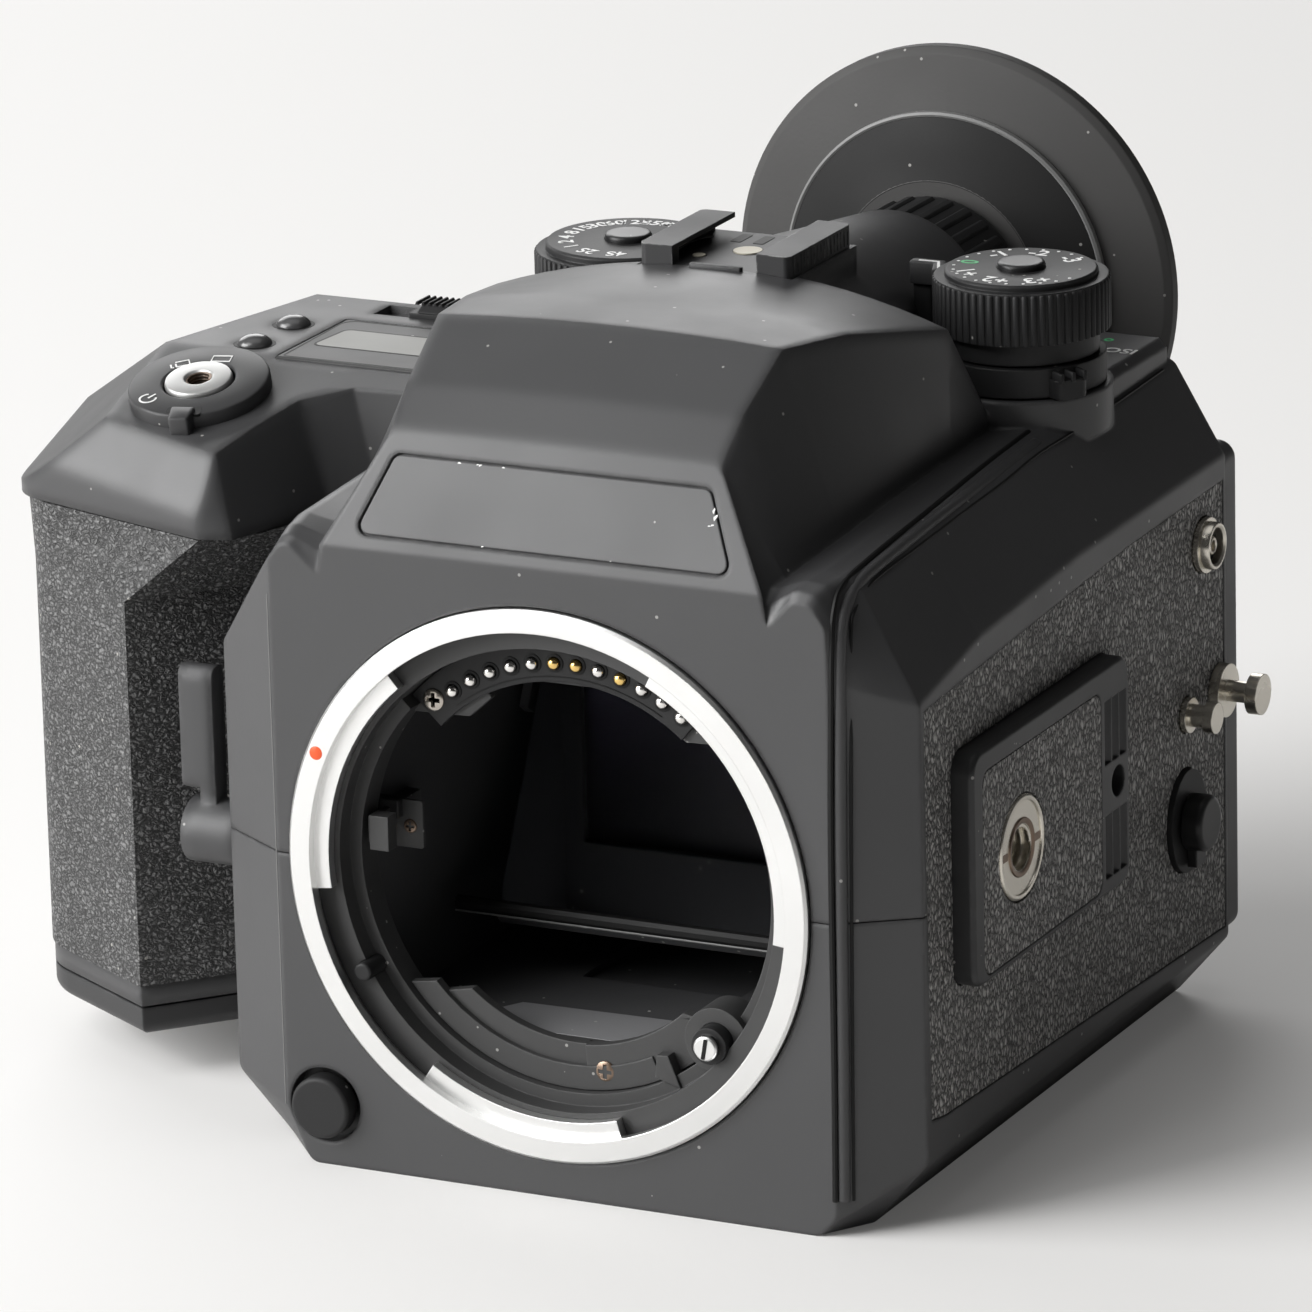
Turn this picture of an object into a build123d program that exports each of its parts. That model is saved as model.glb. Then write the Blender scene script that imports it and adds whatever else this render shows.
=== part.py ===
from build123d import *
from math import acos, asin, cos, hypot, pi, radians, sin, sqrt, tan
import os

os.makedirs("parts", exist_ok=True)

# Medium format single lens reflex film camera, 56 x 41.5 mm frame.
# Frame of the model: the origin is the centre of the lens mount's register face.
# -Y is the front (towards the lens), +Z is up, +X is the tripod plate side, the grip is at -X.

# Clearances
fit_gap = 0.3            # between pieces that do not touch
shaft_clearance = 0.06   # radial, round a turning shaft
seam_gap = 0.2           # between two mouldings

# Lens mount
ring_outer_radius = 38.4
ring_band_radius = 35.2
claw_radius = 33.0
ring_thickness = 3.0
claw_thickness = 1.6
pocket_radius = 36.0     # inside the ring between the claws, wider than the band
claw_gaps = [(63.0, 131.0), (187.5, 236.5), (286.0, 353.0)]   # degrees from +X towards +Z

# Front box
panel_y = 1.0            # front face of the body, behind the register face
insert_half = 42.0       # half width of the film insert, which sets the width of the body
side_x = insert_half + 9.5
box_left = -side_x
panel_left = box_left + 11.1
panel_right = side_x - 10.1
base_z = -43.7
body_rear_y = 110.0
wall = 2.5
front_wall = 3.6
lower_corner_z = -34.4
left_shoulder_z = 26.5
base_left = box_left + 9.0
base_right = side_x - 8.0
shoulder_x = side_x - 7.5
strip_x = side_x - 9.9   # crest of the rounded strip between deck and shoulder
lip_x = side_x - 13.0
deck_left = box_left + 12.5
valley_x = 33.3          # foot of the prism hump
bevel_y = 8.0            # where the front bevels end
corner_round = 2.0

# Prism hump
hump_floor_z = 38.0
eyepiece_z = 50.8

# Rear plateau that carries the dials
plateau_z = 52.3
plateau_right = side_x - 8.0
plateau_left = box_left + 6.5
plateau_front_y = 81.0
plateau_rear_y = 108.5
plateau_bevel = 1.2

# Grip
grip_left = -97.5
grip_join_x = box_left - fit_gap      # where the grip moulding meets the body
grip_front_y = 20.0
grip_gap_y = 44.0        # bottom of the finger gap
grip_rear_y = 99.0
grip_seam_z = 36.2
grip_skin_bottom_z = -29.6
grip_band_bottom_z = -32.6
grip_foot_z = -37.0
grip_skin = 1.3
grip_corner_radius = 12.0
grip_rear_radius = 8.0
grip_ridge_x = -73.5
grip_upper_ridge_x = -61.5
grip_deck_z = 54.5
grip_deck_tilt = 14.5    # degrees, nose down

# Dials
comp_dial_xy = (33.5, 82.0)
comp_dial_radius = 11.9
speed_dial_xy = (-28.3, 86.3)
speed_dial_radius = 12.9


def block(x0, x1, y0, y1, z0, z1, mode=Mode.ADD):
    with Locations(((x0 + x1) / 2, (y0 + y1) / 2, (z0 + z1) / 2)):
        Box(abs(x1 - x0), abs(y1 - y0), abs(z1 - z0), mode=mode)


def rod_x(x0, x1, y, z, radius, mode=Mode.ADD):
    with Locations(Location(((x0 + x1) / 2, y, z), (0, 90, 0))):
        Cylinder(radius, abs(x1 - x0), mode=mode)


def rod_y(y0, y1, x, z, radius, mode=Mode.ADD):
    with Locations(Location((x, (y0 + y1) / 2, z), (90, 0, 0))):
        Cylinder(radius, y1 - y0, mode=mode)


def rod_z(z0, z1, x, y, radius, mode=Mode.ADD):
    with Locations((x, y, (z0 + z1) / 2)):
        Cylinder(radius, z1 - z0, mode=mode)


def depth_plane(y):
    """Upright plane at depth y: local x is X, local y is Z, extrude(-t) goes to the rear."""
    return Plane.XZ.offset(-y)


def polygon_face(points, inset=0.0):
    """Fills a closed outline inside a sketch block, drawn in by inset."""
    with BuildLine() as outline:
        Polyline(*points, close=True)
    make_face(outline.edges())
    if inset:
        offset(amount=-inset, kind=Kind.INTERSECTION, mode=Mode.REPLACE)


def round_corner(before, corner, after, radius):
    """Start, middle and end of the arc that rounds one corner of an outline, short sides allowed for."""
    back = Vector(before[0] - corner[0], before[1] - corner[1])
    on = Vector(after[0] - corner[0], after[1] - corner[1])
    half = acos(max(-1.0, min(1.0, back.normalized().dot(on.normalized())))) / 2
    run = min(radius / tan(half), 0.45 * back.length, 0.45 * on.length)
    inward = (back.normalized() + on.normalized()).normalized()
    tip = Vector(*corner)
    middle = tip + inward * (run * tan(half)) * (1 / sin(half) - 1)
    return tip + back.normalized() * run, middle, tip + on.normalized() * run


def round_face(points, radius):
    """Fills a closed outline inside a sketch block, with every corner rounded."""
    count = len(points)
    arcs = [round_corner(points[i - 1], points[i], points[(i + 1) % count], radius) for i in range(count)]
    with BuildLine() as outline:
        for i in range(count):
            ThreePointArc(*arcs[i])
            Line(arcs[i][2], arcs[(i + 1) % count][0])
    make_face(outline.edges())


def sector(radius, start, end):
    """Filled pie slice inside a sketch block, angles in degrees."""
    mid = radians((start + end) / 2)
    a, b = radians(start), radians(end)
    with BuildLine() as outline:
        Line((0, 0), (radius * cos(a), radius * sin(a)))
        ThreePointArc((radius * cos(a), radius * sin(a)), (radius * cos(mid), radius * sin(mid)),
                      (radius * cos(b), radius * sin(b)))
        Line((radius * cos(b), radius * sin(b)), (0, 0))
    make_face(outline.edges())


def plane_through(p, q, r):
    """Plane through three points, with its normal on the upper side."""
    p, q, r = Vector(*p), Vector(*q), Vector(*r)
    normal = (q - p).cross(r - p).normalized()
    if normal.Z < 0:
        normal = -normal
    return Plane(origin=p, z_dir=normal)


def cap_middle(radius, height):
    """Point halfway along a spherical cap's arc: distance from the axis and drop from the top."""
    sphere = (radius ** 2 + height ** 2) / (2 * height)
    half_angle = asin(radius / sphere) / 2
    return sphere * sin(half_angle), sphere * (1 - cos(half_angle))


def save(piece, name):
    piece.part.label = name
    export_step(piece.part, f"parts/{name}.step")


# Cross sections of the body
tunnel_rear_y = 113.0

def body_outline(y):
    """Corners of the body's cross section at depth y, anticlockwise from the lower left."""
    shoulder_low, shoulder_top, valley, deck = {
        bevel_y: (29.0, 43.0, 44.9, 46.0),
        27.0: (33.0, 44.8, 46.0, 47.0),
        60.0: (35.3, 46.7, 47.9, 48.4),
        body_rear_y: (36.0, 48.7, 49.9, 50.0)}[y]
    return [(base_left, base_z), (base_right, base_z), (side_x, lower_corner_z), (side_x, shoulder_low),
            (shoulder_x, shoulder_top), (strip_x, deck - 0.4), (lip_x, deck), (valley_x, valley),
            (-valley_x, valley), (deck_left, deck), (box_left, left_shoulder_z), (box_left, lower_corner_z)]


def front_outline():
    """Corners of the flat front panel, in the same order as body_outline."""
    return [(panel_left + 3.4, base_z), (panel_right - 2.5, base_z), (panel_right, base_z + 2.5),
            (panel_right + 0.15, 33.0), (panel_right, 40.2), (panel_right - 2.0, 43.0),
            (panel_right - 4.8, 43.5), (valley_x - 0.2, 39.6), (0.2 - valley_x, 39.6),
            (panel_left + 2.4, 43.9), (panel_left, 41.4), (panel_left, -36.0)]


def bevel_outline(share):
    """Outline between the front panel (share 0) and the body (share 1): flat sides and a round top."""
    rise = sqrt(1 - (1 - share) ** 2)
    points = []
    for place, (front, rear) in enumerate(zip(front_outline(), body_outline(bevel_y))):
        x = front[0] + share * (rear[0] - front[0])
        climb = rise if 5 <= place <= 9 else share
        points.append((x, front[1] + climb * (rear[1] - front[1])))
    return points


def hump_section(y, inset=0.0):
    """Half width and height of the foot, half width and height of the crease, crown height, rounding."""
    half_foot, foot_z, half_crease, crease_z, crown_z, rounding = {
        1.0: (valley_x - 0.3, 39.7, 32.5, 43.8, 43.9, 0.2),
        6.8: (valley_x + 0.3, 44.0, 24.2, 58.8, 59.0, 2.5),
        12.5: (valley_x + 0.5, 44.0, 24.6, 64.0, 64.5, 3.5),
        23.4: (valley_x + 0.7, 44.0, 25.4, 70.5, 71.4, 3.5),
        37.0: (valley_x + 0.7, 44.0, 28.2, 69.4, 71.5, 3.0),
        57.0: (valley_x + 0.7, 44.0, 33.8, 65.6, 71.4, 1.5),
        70.0: (valley_x + 0.7, 44.0, 33.8, 50.0, 50.6, 0.4)}[y]
    return half_foot - inset, foot_z, half_crease - inset, crease_z - inset, crown_z - inset, rounding


def draw_hump(y, inset=0.0):
    foot, foot_z, crease, crease_z, crown_z, rounding = hump_section(y, inset)
    with BuildLine() as outline:
        Line((-foot, hump_floor_z), (foot, hump_floor_z))
        Line((foot, hump_floor_z), (foot, foot_z))
        Line((foot, foot_z), (crease, crease_z))
        ThreePointArc((crease, crease_z), (0, crown_z), (-crease, crease_z))
        Line((-crease, crease_z), (-foot, foot_z))
        Line((-foot, foot_z), (-foot, hump_floor_z))
    face = make_face(outline.edges())
    if not inset:
        fillet([v for v in face.vertices() if abs(v.Z - crease_z) < 0.01], rounding)


def draw_tunnel(y, inset=0.0):
    """Section of the eyepiece tunnel: straight sides under a round top."""
    half, side_z, top_z = {50.0: (18.5, 64.0, 70.9), 76.0: (15.6, 62.0, 70.3),
                           tunnel_rear_y: (14.2, 52.0, 65.6)}[y]
    with BuildLine() as outline:
        Line((-half + inset, plateau_z - 3), (half - inset, plateau_z - 3))
        Line((half - inset, plateau_z - 3), (half - inset, side_z))
        ThreePointArc((half - inset, side_z), (0, top_z - inset), (-half + inset, side_z))
        Line((-half + inset, side_z), (-half + inset, plateau_z - 3))
    make_face(outline.edges())


# Grip outlines, seen from above, anticlockwise from the rear inner corner
def grip_outline(ridge_x, inner_y, left_y):
    return [(grip_join_x, grip_rear_y), (grip_left, grip_rear_y), (grip_left, left_y),
            (ridge_x, grip_front_y), (grip_join_x, inner_y)]


def draw_grip(ridge_x, inner_y, left_y, inset=0.0):
    """Filled grip outline with a round outer corner and a soft ridge, drawn in by inset."""
    with BuildLine() as outline:
        Polyline(*grip_outline(ridge_x, inner_y, left_y), close=True)
    face = make_face(outline.edges())
    outer = face.vertices().group_by(Axis.X)[0].sort_by(Axis.Y)
    fillet([outer[0]], grip_corner_radius)
    fillet([v for v in vertices() if v.X < grip_left + 0.1 and v.Y > grip_rear_y - 0.1], grip_rear_radius)
    if inset:
        offset(amount=-inset, kind=Kind.INTERSECTION, mode=Mode.REPLACE)


lower_grip = (grip_ridge_x, grip_gap_y, 34.0)
upper_grip = (grip_upper_ridge_x, 30.5, 31.0)
scoop_z = 26.0           # where the finger scoop under the top housing begins


def grip_column(bottom_z, top_z, inset, mode=Mode.ADD):
    """The grip's form between two heights; above scoop_z it changes to the upper outline."""
    with BuildSketch(Plane.XY.offset(bottom_z)) as foot:
        draw_grip(*lower_grip, inset=inset)
    extrude(foot.sketch, amount=scoop_z - bottom_z, dir=(0, 0, 1), mode=mode)
    with BuildSketch(Plane.XY.offset(scoop_z)) as low:
        draw_grip(*lower_grip, inset=inset)
    with BuildSketch(Plane.XY.offset(top_z)) as high:
        draw_grip(*upper_grip, inset=inset)
    loft([low.sketch, high.sketch], ruled=True, mode=mode)

# Deck of the grip: a nose that tilts forward and a level rear part
deck_bend_y = 49.5
nose_edge_y = 25.8
nose_edge_z = grip_deck_z - (deck_bend_y - nose_edge_y) * tan(radians(grip_deck_tilt))
nose_face = plane_through((-61.5, 19.8, 39.5), (-88.0, 27.5, 40.3), (-70.0, nose_edge_y, nose_edge_z))
nose_deck = plane_through((-60.0, nose_edge_y, nose_edge_z), (-80.0, nose_edge_y, nose_edge_z),
                          (-70.0, deck_bend_y, grip_deck_z))
outer_bevel = plane_through((-80.0, nose_edge_y, nose_edge_z), (-82.0, deck_bend_y, grip_deck_z),
                            (grip_left, 36.0, 38.0))
rear_outer_bevel = plane_through((-82.0, deck_bend_y, grip_deck_z), (-76.0, 74.0, grip_deck_z),
                                 (grip_left, 72.0, 41.0))
rear_slope = plane_through((-90.0, 80.0, grip_deck_z), (-50.0, 80.0, grip_deck_z),
                           (-50.0, grip_rear_y, 40.0))

# Whole outer form of the body, before it is hollowed and split
with BuildPart() as box_form:
    shares = (0.0, 0.15, 0.45, 1.0)
    for start, end in zip(shares, shares[1:]):
        with BuildSketch(depth_plane(panel_y + start * (bevel_y - panel_y))):
            round_face(bevel_outline(start), corner_round)
        with BuildSketch(depth_plane(panel_y + end * (bevel_y - panel_y))):
            round_face(bevel_outline(end), corner_round)
        loft(ruled=True)
    depths = (bevel_y, 27.0, 60.0, body_rear_y)
    for near, far in zip(depths, depths[1:]):
        with BuildSketch(depth_plane(near)):
            round_face(body_outline(near), corner_round)
        with BuildSketch(depth_plane(far)):
            round_face(body_outline(far), corner_round)
        loft(ruled=True)

with BuildPart() as hump_form:
    depths = (panel_y, 6.8, 12.5, 23.4, 37.0, 57.0, 70.0)
    for near, far in zip(depths, depths[1:]):
        with BuildSketch(depth_plane(near)):
            draw_hump(near)
        with BuildSketch(depth_plane(far)):
            draw_hump(far)
        loft(ruled=True)
    for near, far in ((50.0, 76.0), (76.0, tunnel_rear_y)):
        with BuildSketch(depth_plane(near)):
            draw_tunnel(near)
        with BuildSketch(depth_plane(far)):
            draw_tunnel(far)
        loft(ruled=True)

with BuildPart() as housing_form:
    with BuildSketch(Plane.XY.offset(grip_seam_z)):
        polygon_face([(-36, 100), (grip_left, grip_rear_y), (grip_left, 31.0), (grip_upper_ridge_x, 19.8),
                      (-57.0, 21.3), (-54.2, 30.0), (-51.9, 40.0), (-46.0, 43.8), (-36, grip_gap_y)])
        fillet(vertices().sort_by(Axis.X)[0:2], grip_rear_radius)
    with BuildSketch(Plane.XY.offset(grip_deck_z)):
        polygon_face([(-36, 100), (grip_left, grip_rear_y), (grip_left, 31.0), (-64.3, 19.8),
                      (-61.8, 24.0), (-59.6, 30.5), (-56.0, 38.0), (-49.5, 42.8), (-36, 43.4)])
        fillet(vertices().sort_by(Axis.X)[0:2], grip_rear_radius)
    loft(ruled=True)
    for cut in (nose_face, nose_deck, outer_bevel, rear_outer_bevel, rear_slope):
        split(bisect_by=cut, keep=Keep.BOTTOM)

# Hollow of the body, open at the rear for the film insert and joined to the hump's hollow
cavity_rear_y = body_rear_y - 3.0
rear_opening = (-insert_half - 1.0, insert_half + 4.5, -37.3, 37.3)      # x and z limits
eyepiece_bore = 11.4

with BuildPart() as hollow:
    depths = (bevel_y, 27.0, 60.0, body_rear_y)
    for near, far in zip(depths, depths[1:]):
        with BuildSketch(depth_plane(near)):
            polygon_face(body_outline(near), wall)
        with BuildSketch(depth_plane(far)):
            polygon_face(body_outline(far), wall)
        loft(ruled=True)
    block(-60, 60, cavity_rear_y, 120, -60, 60, Mode.SUBTRACT)
    block(panel_left + 2.9, panel_right - 1.9, panel_y + front_wall, bevel_y + 1, base_z + wall, 42.0)
    stations = ((11.0, 6.8), (16.5, 12.5), (26.0, 23.4), (37.0, 37.0), (52.0, 57.0), (63.0, 70.0))
    for near, far in zip(stations, stations[1:]):
        with BuildSketch(depth_plane(near[0])):
            draw_hump(near[1], inset=3.0)
        with BuildSketch(depth_plane(far[0])):
            draw_hump(far[1], inset=3.0)
        loft(ruled=True)
    block(plateau_left + 3.0, plateau_right - 2.5, plateau_front_y + 2.5, plateau_rear_y - 3.0, 43,
          plateau_z - 2.6)
    rod_y(50, 116, 0, eyepiece_z, eyepiece_bore)
    block(rear_opening[0], rear_opening[1], 100, 116, rear_opening[2], rear_opening[3])

# Seats and holes shared by both covers
mount_hole_radius = 36.4
mount_seat_radius = ring_outer_radius + 0.2
leather_depth = 0.9
leather_outline = [(9.0, 27.9), (9.6, -28.7), (14.0, -29.4), (109.2, -32.8), (109.2, 32.6), (76.7, 32.0),
                   (33.4, 29.4)]
plate_y = (17.5, 69.0)
plate_z = (-13.0, 19.5)
plate_thickness = 3.0
side_bush_yz = (33.0, 2.5)
side_bush_radius = 7.2
side_pin_yz = (65.0, 2.3)
sync_yz = (102.2, 25.1)
sync_radius = 3.9
lug_yz = (95.8, 2.3)
stud_yz = (107.2, 2.7)
remote_y = (88.8, 101.0)
remote_z = (-20.4, -5.6)
remote_hole_radius = 2.6
remote_centre_yz = (94.9, -12.8)
release_xz = (-34.6, -35.2)
release_radius = 4.35
release_recess_radius = 5.3
release_floor_y = 4.0
release_stem_radius = 2.94
lever_barrel_yz = (14.5, -3.0)
lever_pivot_radius = 2.0
base_bush_xy = (0.0, 36.0)
base_bush_radius = 9.0
bush_flange = 1.2
latch_xz = (box_left + 4.0, -18.0)
latch_pin_radius = 1.4

with BuildPart() as shared_cuts:
    rod_y(panel_y - 1, panel_y + front_wall + 6, 0, 0, mount_hole_radius)
    rod_y(panel_y - 1, ring_thickness, 0, 0, mount_seat_radius)
    with BuildSketch(Plane.YZ.offset(side_x - leather_depth)):
        polygon_face(leather_outline)
    extrude(amount=leather_depth + 1)
    rod_x(side_x - 8, side_x + 1, *side_bush_yz, side_bush_radius + 0.05)
    rod_x(side_x - 8, side_x + 1, *sync_yz, sync_radius - 0.75)
    rod_x(side_x - 8, side_x + 1, *lug_yz, 1.5)
    rod_x(side_x - 8, side_x + 1, *stud_yz, 1.2)
    rod_x(side_x - 8, side_x + 1, *remote_centre_yz, remote_hole_radius + 0.6)
    rod_y(panel_y - 1, release_floor_y, *release_xz, release_recess_radius)
    rod_y(panel_y - 1, 12, *release_xz, release_stem_radius + shaft_clearance)
    rod_x(box_left - 1, box_left + 6, *lever_barrel_yz, lever_pivot_radius + shaft_clearance)
    rod_y(cavity_rear_y - 4, body_rear_y + 1, *latch_xz, latch_pin_radius + shaft_clearance)

# Name plate recess on the brow, left bare
brow_plane = Plane(origin=(0, 1.0, 43.9), x_dir=(1, 0, 0), z_dir=(0, -15.1, 5.8))
name_recess = [(-28.0, 1.7), (28.0, 1.7), (23.3, 13.2), (-23.3, 13.2)]
name_recess_depth = 0.6

# Shoe, eyepiece and dial seats
shoe_half = 11.3
shoe_y = (55.5, 75.2)
shoe_base_z = 70.6
tube_radius = 12.3
tube_rear_y = 129.0
shoe_block_half = shoe_half + 0.4
comp_collar_radius = 12.4
speed_collar_radius = 13.6
speed_collar_z = 56.7
comp_collar_z = plateau_z
dial_shaft_radius = 3.0
dial_shaft_bottom_z = 46.0

# Grip deck details
switch_centre = (-70.1, 37.6)
switch_z = grip_deck_z - (deck_bend_y - switch_centre[1]) * tan(radians(grip_deck_tilt))
switch_plane = Plane(origin=(switch_centre[0], switch_centre[1], switch_z), x_dir=(1, 0, 0),
                     z_dir=nose_deck.z_dir)
switch_hub_radius = 4.9
dome_centres = ((-70.0, 53.2), (-69.8, 64.2))
dome_stem_radius = 1.5
window_x = (-64.3, -37.0)
window_y = (48.3, 69.5)
window_seat = 1.0
slot_x = (-62.0, -40.5)
slot_y = (73.3, 78.3)
board_room = (-79.0, -40.0, 46.0, 76.0, 51.7)     # x, x, y, y, top
seam_z = 0.0

with BuildPart() as body_form:
    add(box_form.part)
    add(hump_form.part)
    block(plateau_left, plateau_right, plateau_front_y, plateau_rear_y, 44, plateau_z)
    corner = body_form.edges().filter_by(Axis.Y).filter_by_position(Axis.Z, plateau_z - 0.1, plateau_z + 0.1)
    chamfer(corner.filter_by_position(Axis.X, plateau_right - 0.1, plateau_right + 0.1), plateau_bevel)
    block(-shoe_block_half, shoe_block_half, 53, shoe_y[1] + 0.6, 60, shoe_base_z)
    rod_z(dial_shaft_bottom_z, speed_collar_z, *speed_dial_xy, speed_collar_radius)
    rod_z(dial_shaft_bottom_z, comp_collar_z, *comp_dial_xy, comp_collar_radius)
    add(housing_form.part)
    rod_y(body_rear_y, tube_rear_y, 0, eyepiece_z, tube_radius)
    add(hollow.part, mode=Mode.SUBTRACT)
    rod_y(100, tube_rear_y + 1, 0, eyepiece_z, eyepiece_bore, Mode.SUBTRACT)
    block(-shoe_block_half, shoe_block_half, shoe_y[0] - 0.2, 80, shoe_base_z, 80, Mode.SUBTRACT)
    block(*board_room[:4], grip_seam_z - 1, board_room[4], Mode.SUBTRACT)
    add(shared_cuts.part, mode=Mode.SUBTRACT)

with BuildPart() as top_cover:
    add(body_form.part)
    split(bisect_by=Plane.XY.offset(seam_z + seam_gap / 2), keep=Keep.TOP)
    with BuildSketch(brow_plane.offset(-name_recess_depth)):
        polygon_face(name_recess)
        fillet(vertices(), 1.6)
    extrude(amount=name_recess_depth + 2, mode=Mode.SUBTRACT)
    rod_z(dial_shaft_bottom_z - 2, 60, *comp_dial_xy, dial_shaft_radius + shaft_clearance, Mode.SUBTRACT)
    rod_z(dial_shaft_bottom_z - 2, 60, *speed_dial_xy, dial_shaft_radius + shaft_clearance, Mode.SUBTRACT)
    with BuildSketch(switch_plane):
        Circle(switch_hub_radius + shaft_clearance)
    extrude(amount=-12, mode=Mode.SUBTRACT)
    for x, y in dome_centres:
        rod_z(grip_deck_z - 5, grip_deck_z + 1, x, y, dome_stem_radius + shaft_clearance, Mode.SUBTRACT)
        rod_z(grip_deck_z - 0.6, grip_deck_z + 1, x, y, 3.0, Mode.SUBTRACT)
    block(*window_x, *window_y, grip_deck_z - window_seat, grip_deck_z + 1, Mode.SUBTRACT)
    block(window_x[0] + 3, window_x[1] - 1.5, window_y[0] + 3, window_y[1] - 3, 50, grip_deck_z + 1,
          Mode.SUBTRACT)
    block(*slot_x, *slot_y, grip_deck_z - 1.2, grip_deck_z + 1, Mode.SUBTRACT)
save(top_cover, "top_cover")

with BuildPart() as bottom_cover:
    add(body_form.part)
    split(bisect_by=Plane.XY.offset(seam_z - seam_gap / 2), keep=Keep.BOTTOM)
    block(-37.2, 37.2, 63.0, 72.0, base_z + 1.1, -38, Mode.SUBTRACT)
    rod_z(base_z - 1, -38, *base_bush_xy, base_bush_radius + 0.05, Mode.SUBTRACT)
save(bottom_cover, "bottom_cover")

# Grip and batteries
skin_seat_gap = 0.05
cell_radius = 7.25
cell_length = 50.5
cell_bottom_z = -31.0
battery_room = (-94.5, -63.5, 39.0, 86.0, -33.5, cell_bottom_z + cell_length + 4.5)
cell_centres = [(x, y) for x in (-86.7, -71.3) for y in (47.0, 62.0, 77.0)]
key_xy = (-79.0, 62.0)
key_radius = 6.6
key_pin_radius = 1.5
inner_bare_y = 46.5       # the grip's covering stops here on the side towards the body
grip_lug = (-90.0, 27.0)  # x and z of the strap lug at the rear of the grip

with BuildPart() as grip_leather:
    grip_column(grip_skin_bottom_z, grip_seam_z - seam_gap, 0.0)
    grip_column(grip_skin_bottom_z, grip_seam_z - seam_gap, grip_skin, Mode.SUBTRACT)
    block(grip_join_x - grip_skin - 0.4, grip_join_x + 1, inner_bare_y, 101, -31, 37, Mode.SUBTRACT)
    rod_y(grip_rear_y - 3, grip_rear_y + 1, *grip_lug, 3.3, Mode.SUBTRACT)
save(grip_leather, "grip_leather")

with BuildPart() as grip_shell:
    grip_column(grip_skin_bottom_z, grip_seam_z - seam_gap, grip_skin + skin_seat_gap)
    with BuildSketch(Plane.XY.offset(grip_band_bottom_z)):
        draw_grip(*lower_grip, inset=0.3)
    extrude(amount=grip_skin_bottom_z - skin_seat_gap - grip_band_bottom_z)
    block(grip_join_x - grip_skin - 0.4 + skin_seat_gap, grip_join_x, inner_bare_y + skin_seat_gap,
          grip_rear_y - grip_skin - 0.2, grip_band_bottom_z, grip_seam_z - seam_gap)
    block(*battery_room, Mode.SUBTRACT)
    block(-92, -57, 42, 92, battery_room[5] + 2.2, 40, Mode.SUBTRACT)
    rod_y(grip_rear_y - 6, grip_rear_y + 1, *grip_lug, 1.5, Mode.SUBTRACT)
save(grip_shell, "grip_shell")

with BuildPart() as battery_holder:
    with BuildSketch(Plane.XY.offset(grip_foot_z)):
        draw_grip(*lower_grip, inset=0.3)
    extrude(amount=grip_band_bottom_z - fit_gap - grip_foot_z)
    fillet(battery_holder.faces().sort_by(Axis.Z)[0].outer_wire().edges(), 1.8)
    tray = (battery_room[0] + 0.5, battery_room[1] - 0.5, battery_room[2] + 0.5, battery_room[3] - 0.5)
    block(*tray, grip_band_bottom_z - 1, grip_band_bottom_z + 1.3)
    block(*tray, cell_bottom_z + cell_length + fit_gap, cell_bottom_z + cell_length + fit_gap + 2.0)
    block(key_xy[0] - 0.3, key_xy[0] + 0.3, tray[2], tray[3], grip_band_bottom_z,
          cell_bottom_z + cell_length + 1)
    rod_z(grip_foot_z - 1, grip_foot_z + 2.2, *key_xy, key_radius + 0.35, Mode.SUBTRACT)
    rod_z(grip_foot_z - 1, grip_band_bottom_z, *key_xy, key_pin_radius + shaft_clearance, Mode.SUBTRACT)
save(battery_holder, "battery_holder")

with BuildPart() as battery_cells:
    for x, y in cell_centres:
        rod_z(cell_bottom_z, cell_bottom_z + cell_length - 1.0, x, y, cell_radius)
        rod_z(cell_bottom_z, cell_bottom_z + cell_length, x, y, 2.75)
save(battery_cells, "battery_cells")

with BuildPart() as battery_lock_key:
    rod_z(grip_foot_z + 0.2, grip_foot_z + 1.9, *key_xy, key_radius)
    rod_z(grip_foot_z + 1.9, grip_band_bottom_z - 0.5, *key_xy, key_pin_radius)
    for side in (-1, 1):
        with BuildSketch(Plane.XY.offset(grip_foot_z)):
            with Locations((key_xy[0], key_xy[1] + side * 3.2)):
                SlotOverall(9.0, 3.0)
        extrude(amount=1.1, mode=Mode.SUBTRACT)
save(battery_lock_key, "battery_lock_key")

# Side of the body
leather_skin = 0.8
recess_x = side_x - leather_depth
plate_face_x = side_x + plate_thickness
plate_centre = ((plate_y[0] + plate_y[1]) / 2, (plate_z[0] + plate_z[1]) / 2)
plate_leather_y = (20.6, 59.5)
plate_leather_z = (-12.0, 16.5)
thread_radius_quarter = 3.175
thread_radius_three_eighths = 4.76


def side_sketch_rectangle(y_range, z_range, radius, grow=0.0, mode=Mode.ADD):
    with Locations(((y_range[0] + y_range[1]) / 2, (z_range[0] + z_range[1]) / 2)):
        RectangleRounded(y_range[1] - y_range[0] + 2 * grow, z_range[1] - z_range[0] + 2 * grow, radius,
                         mode=mode)


def side_disc(yz, radius, mode=Mode.SUBTRACT):
    with Locations(yz):
        Circle(radius, mode=mode)


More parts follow.
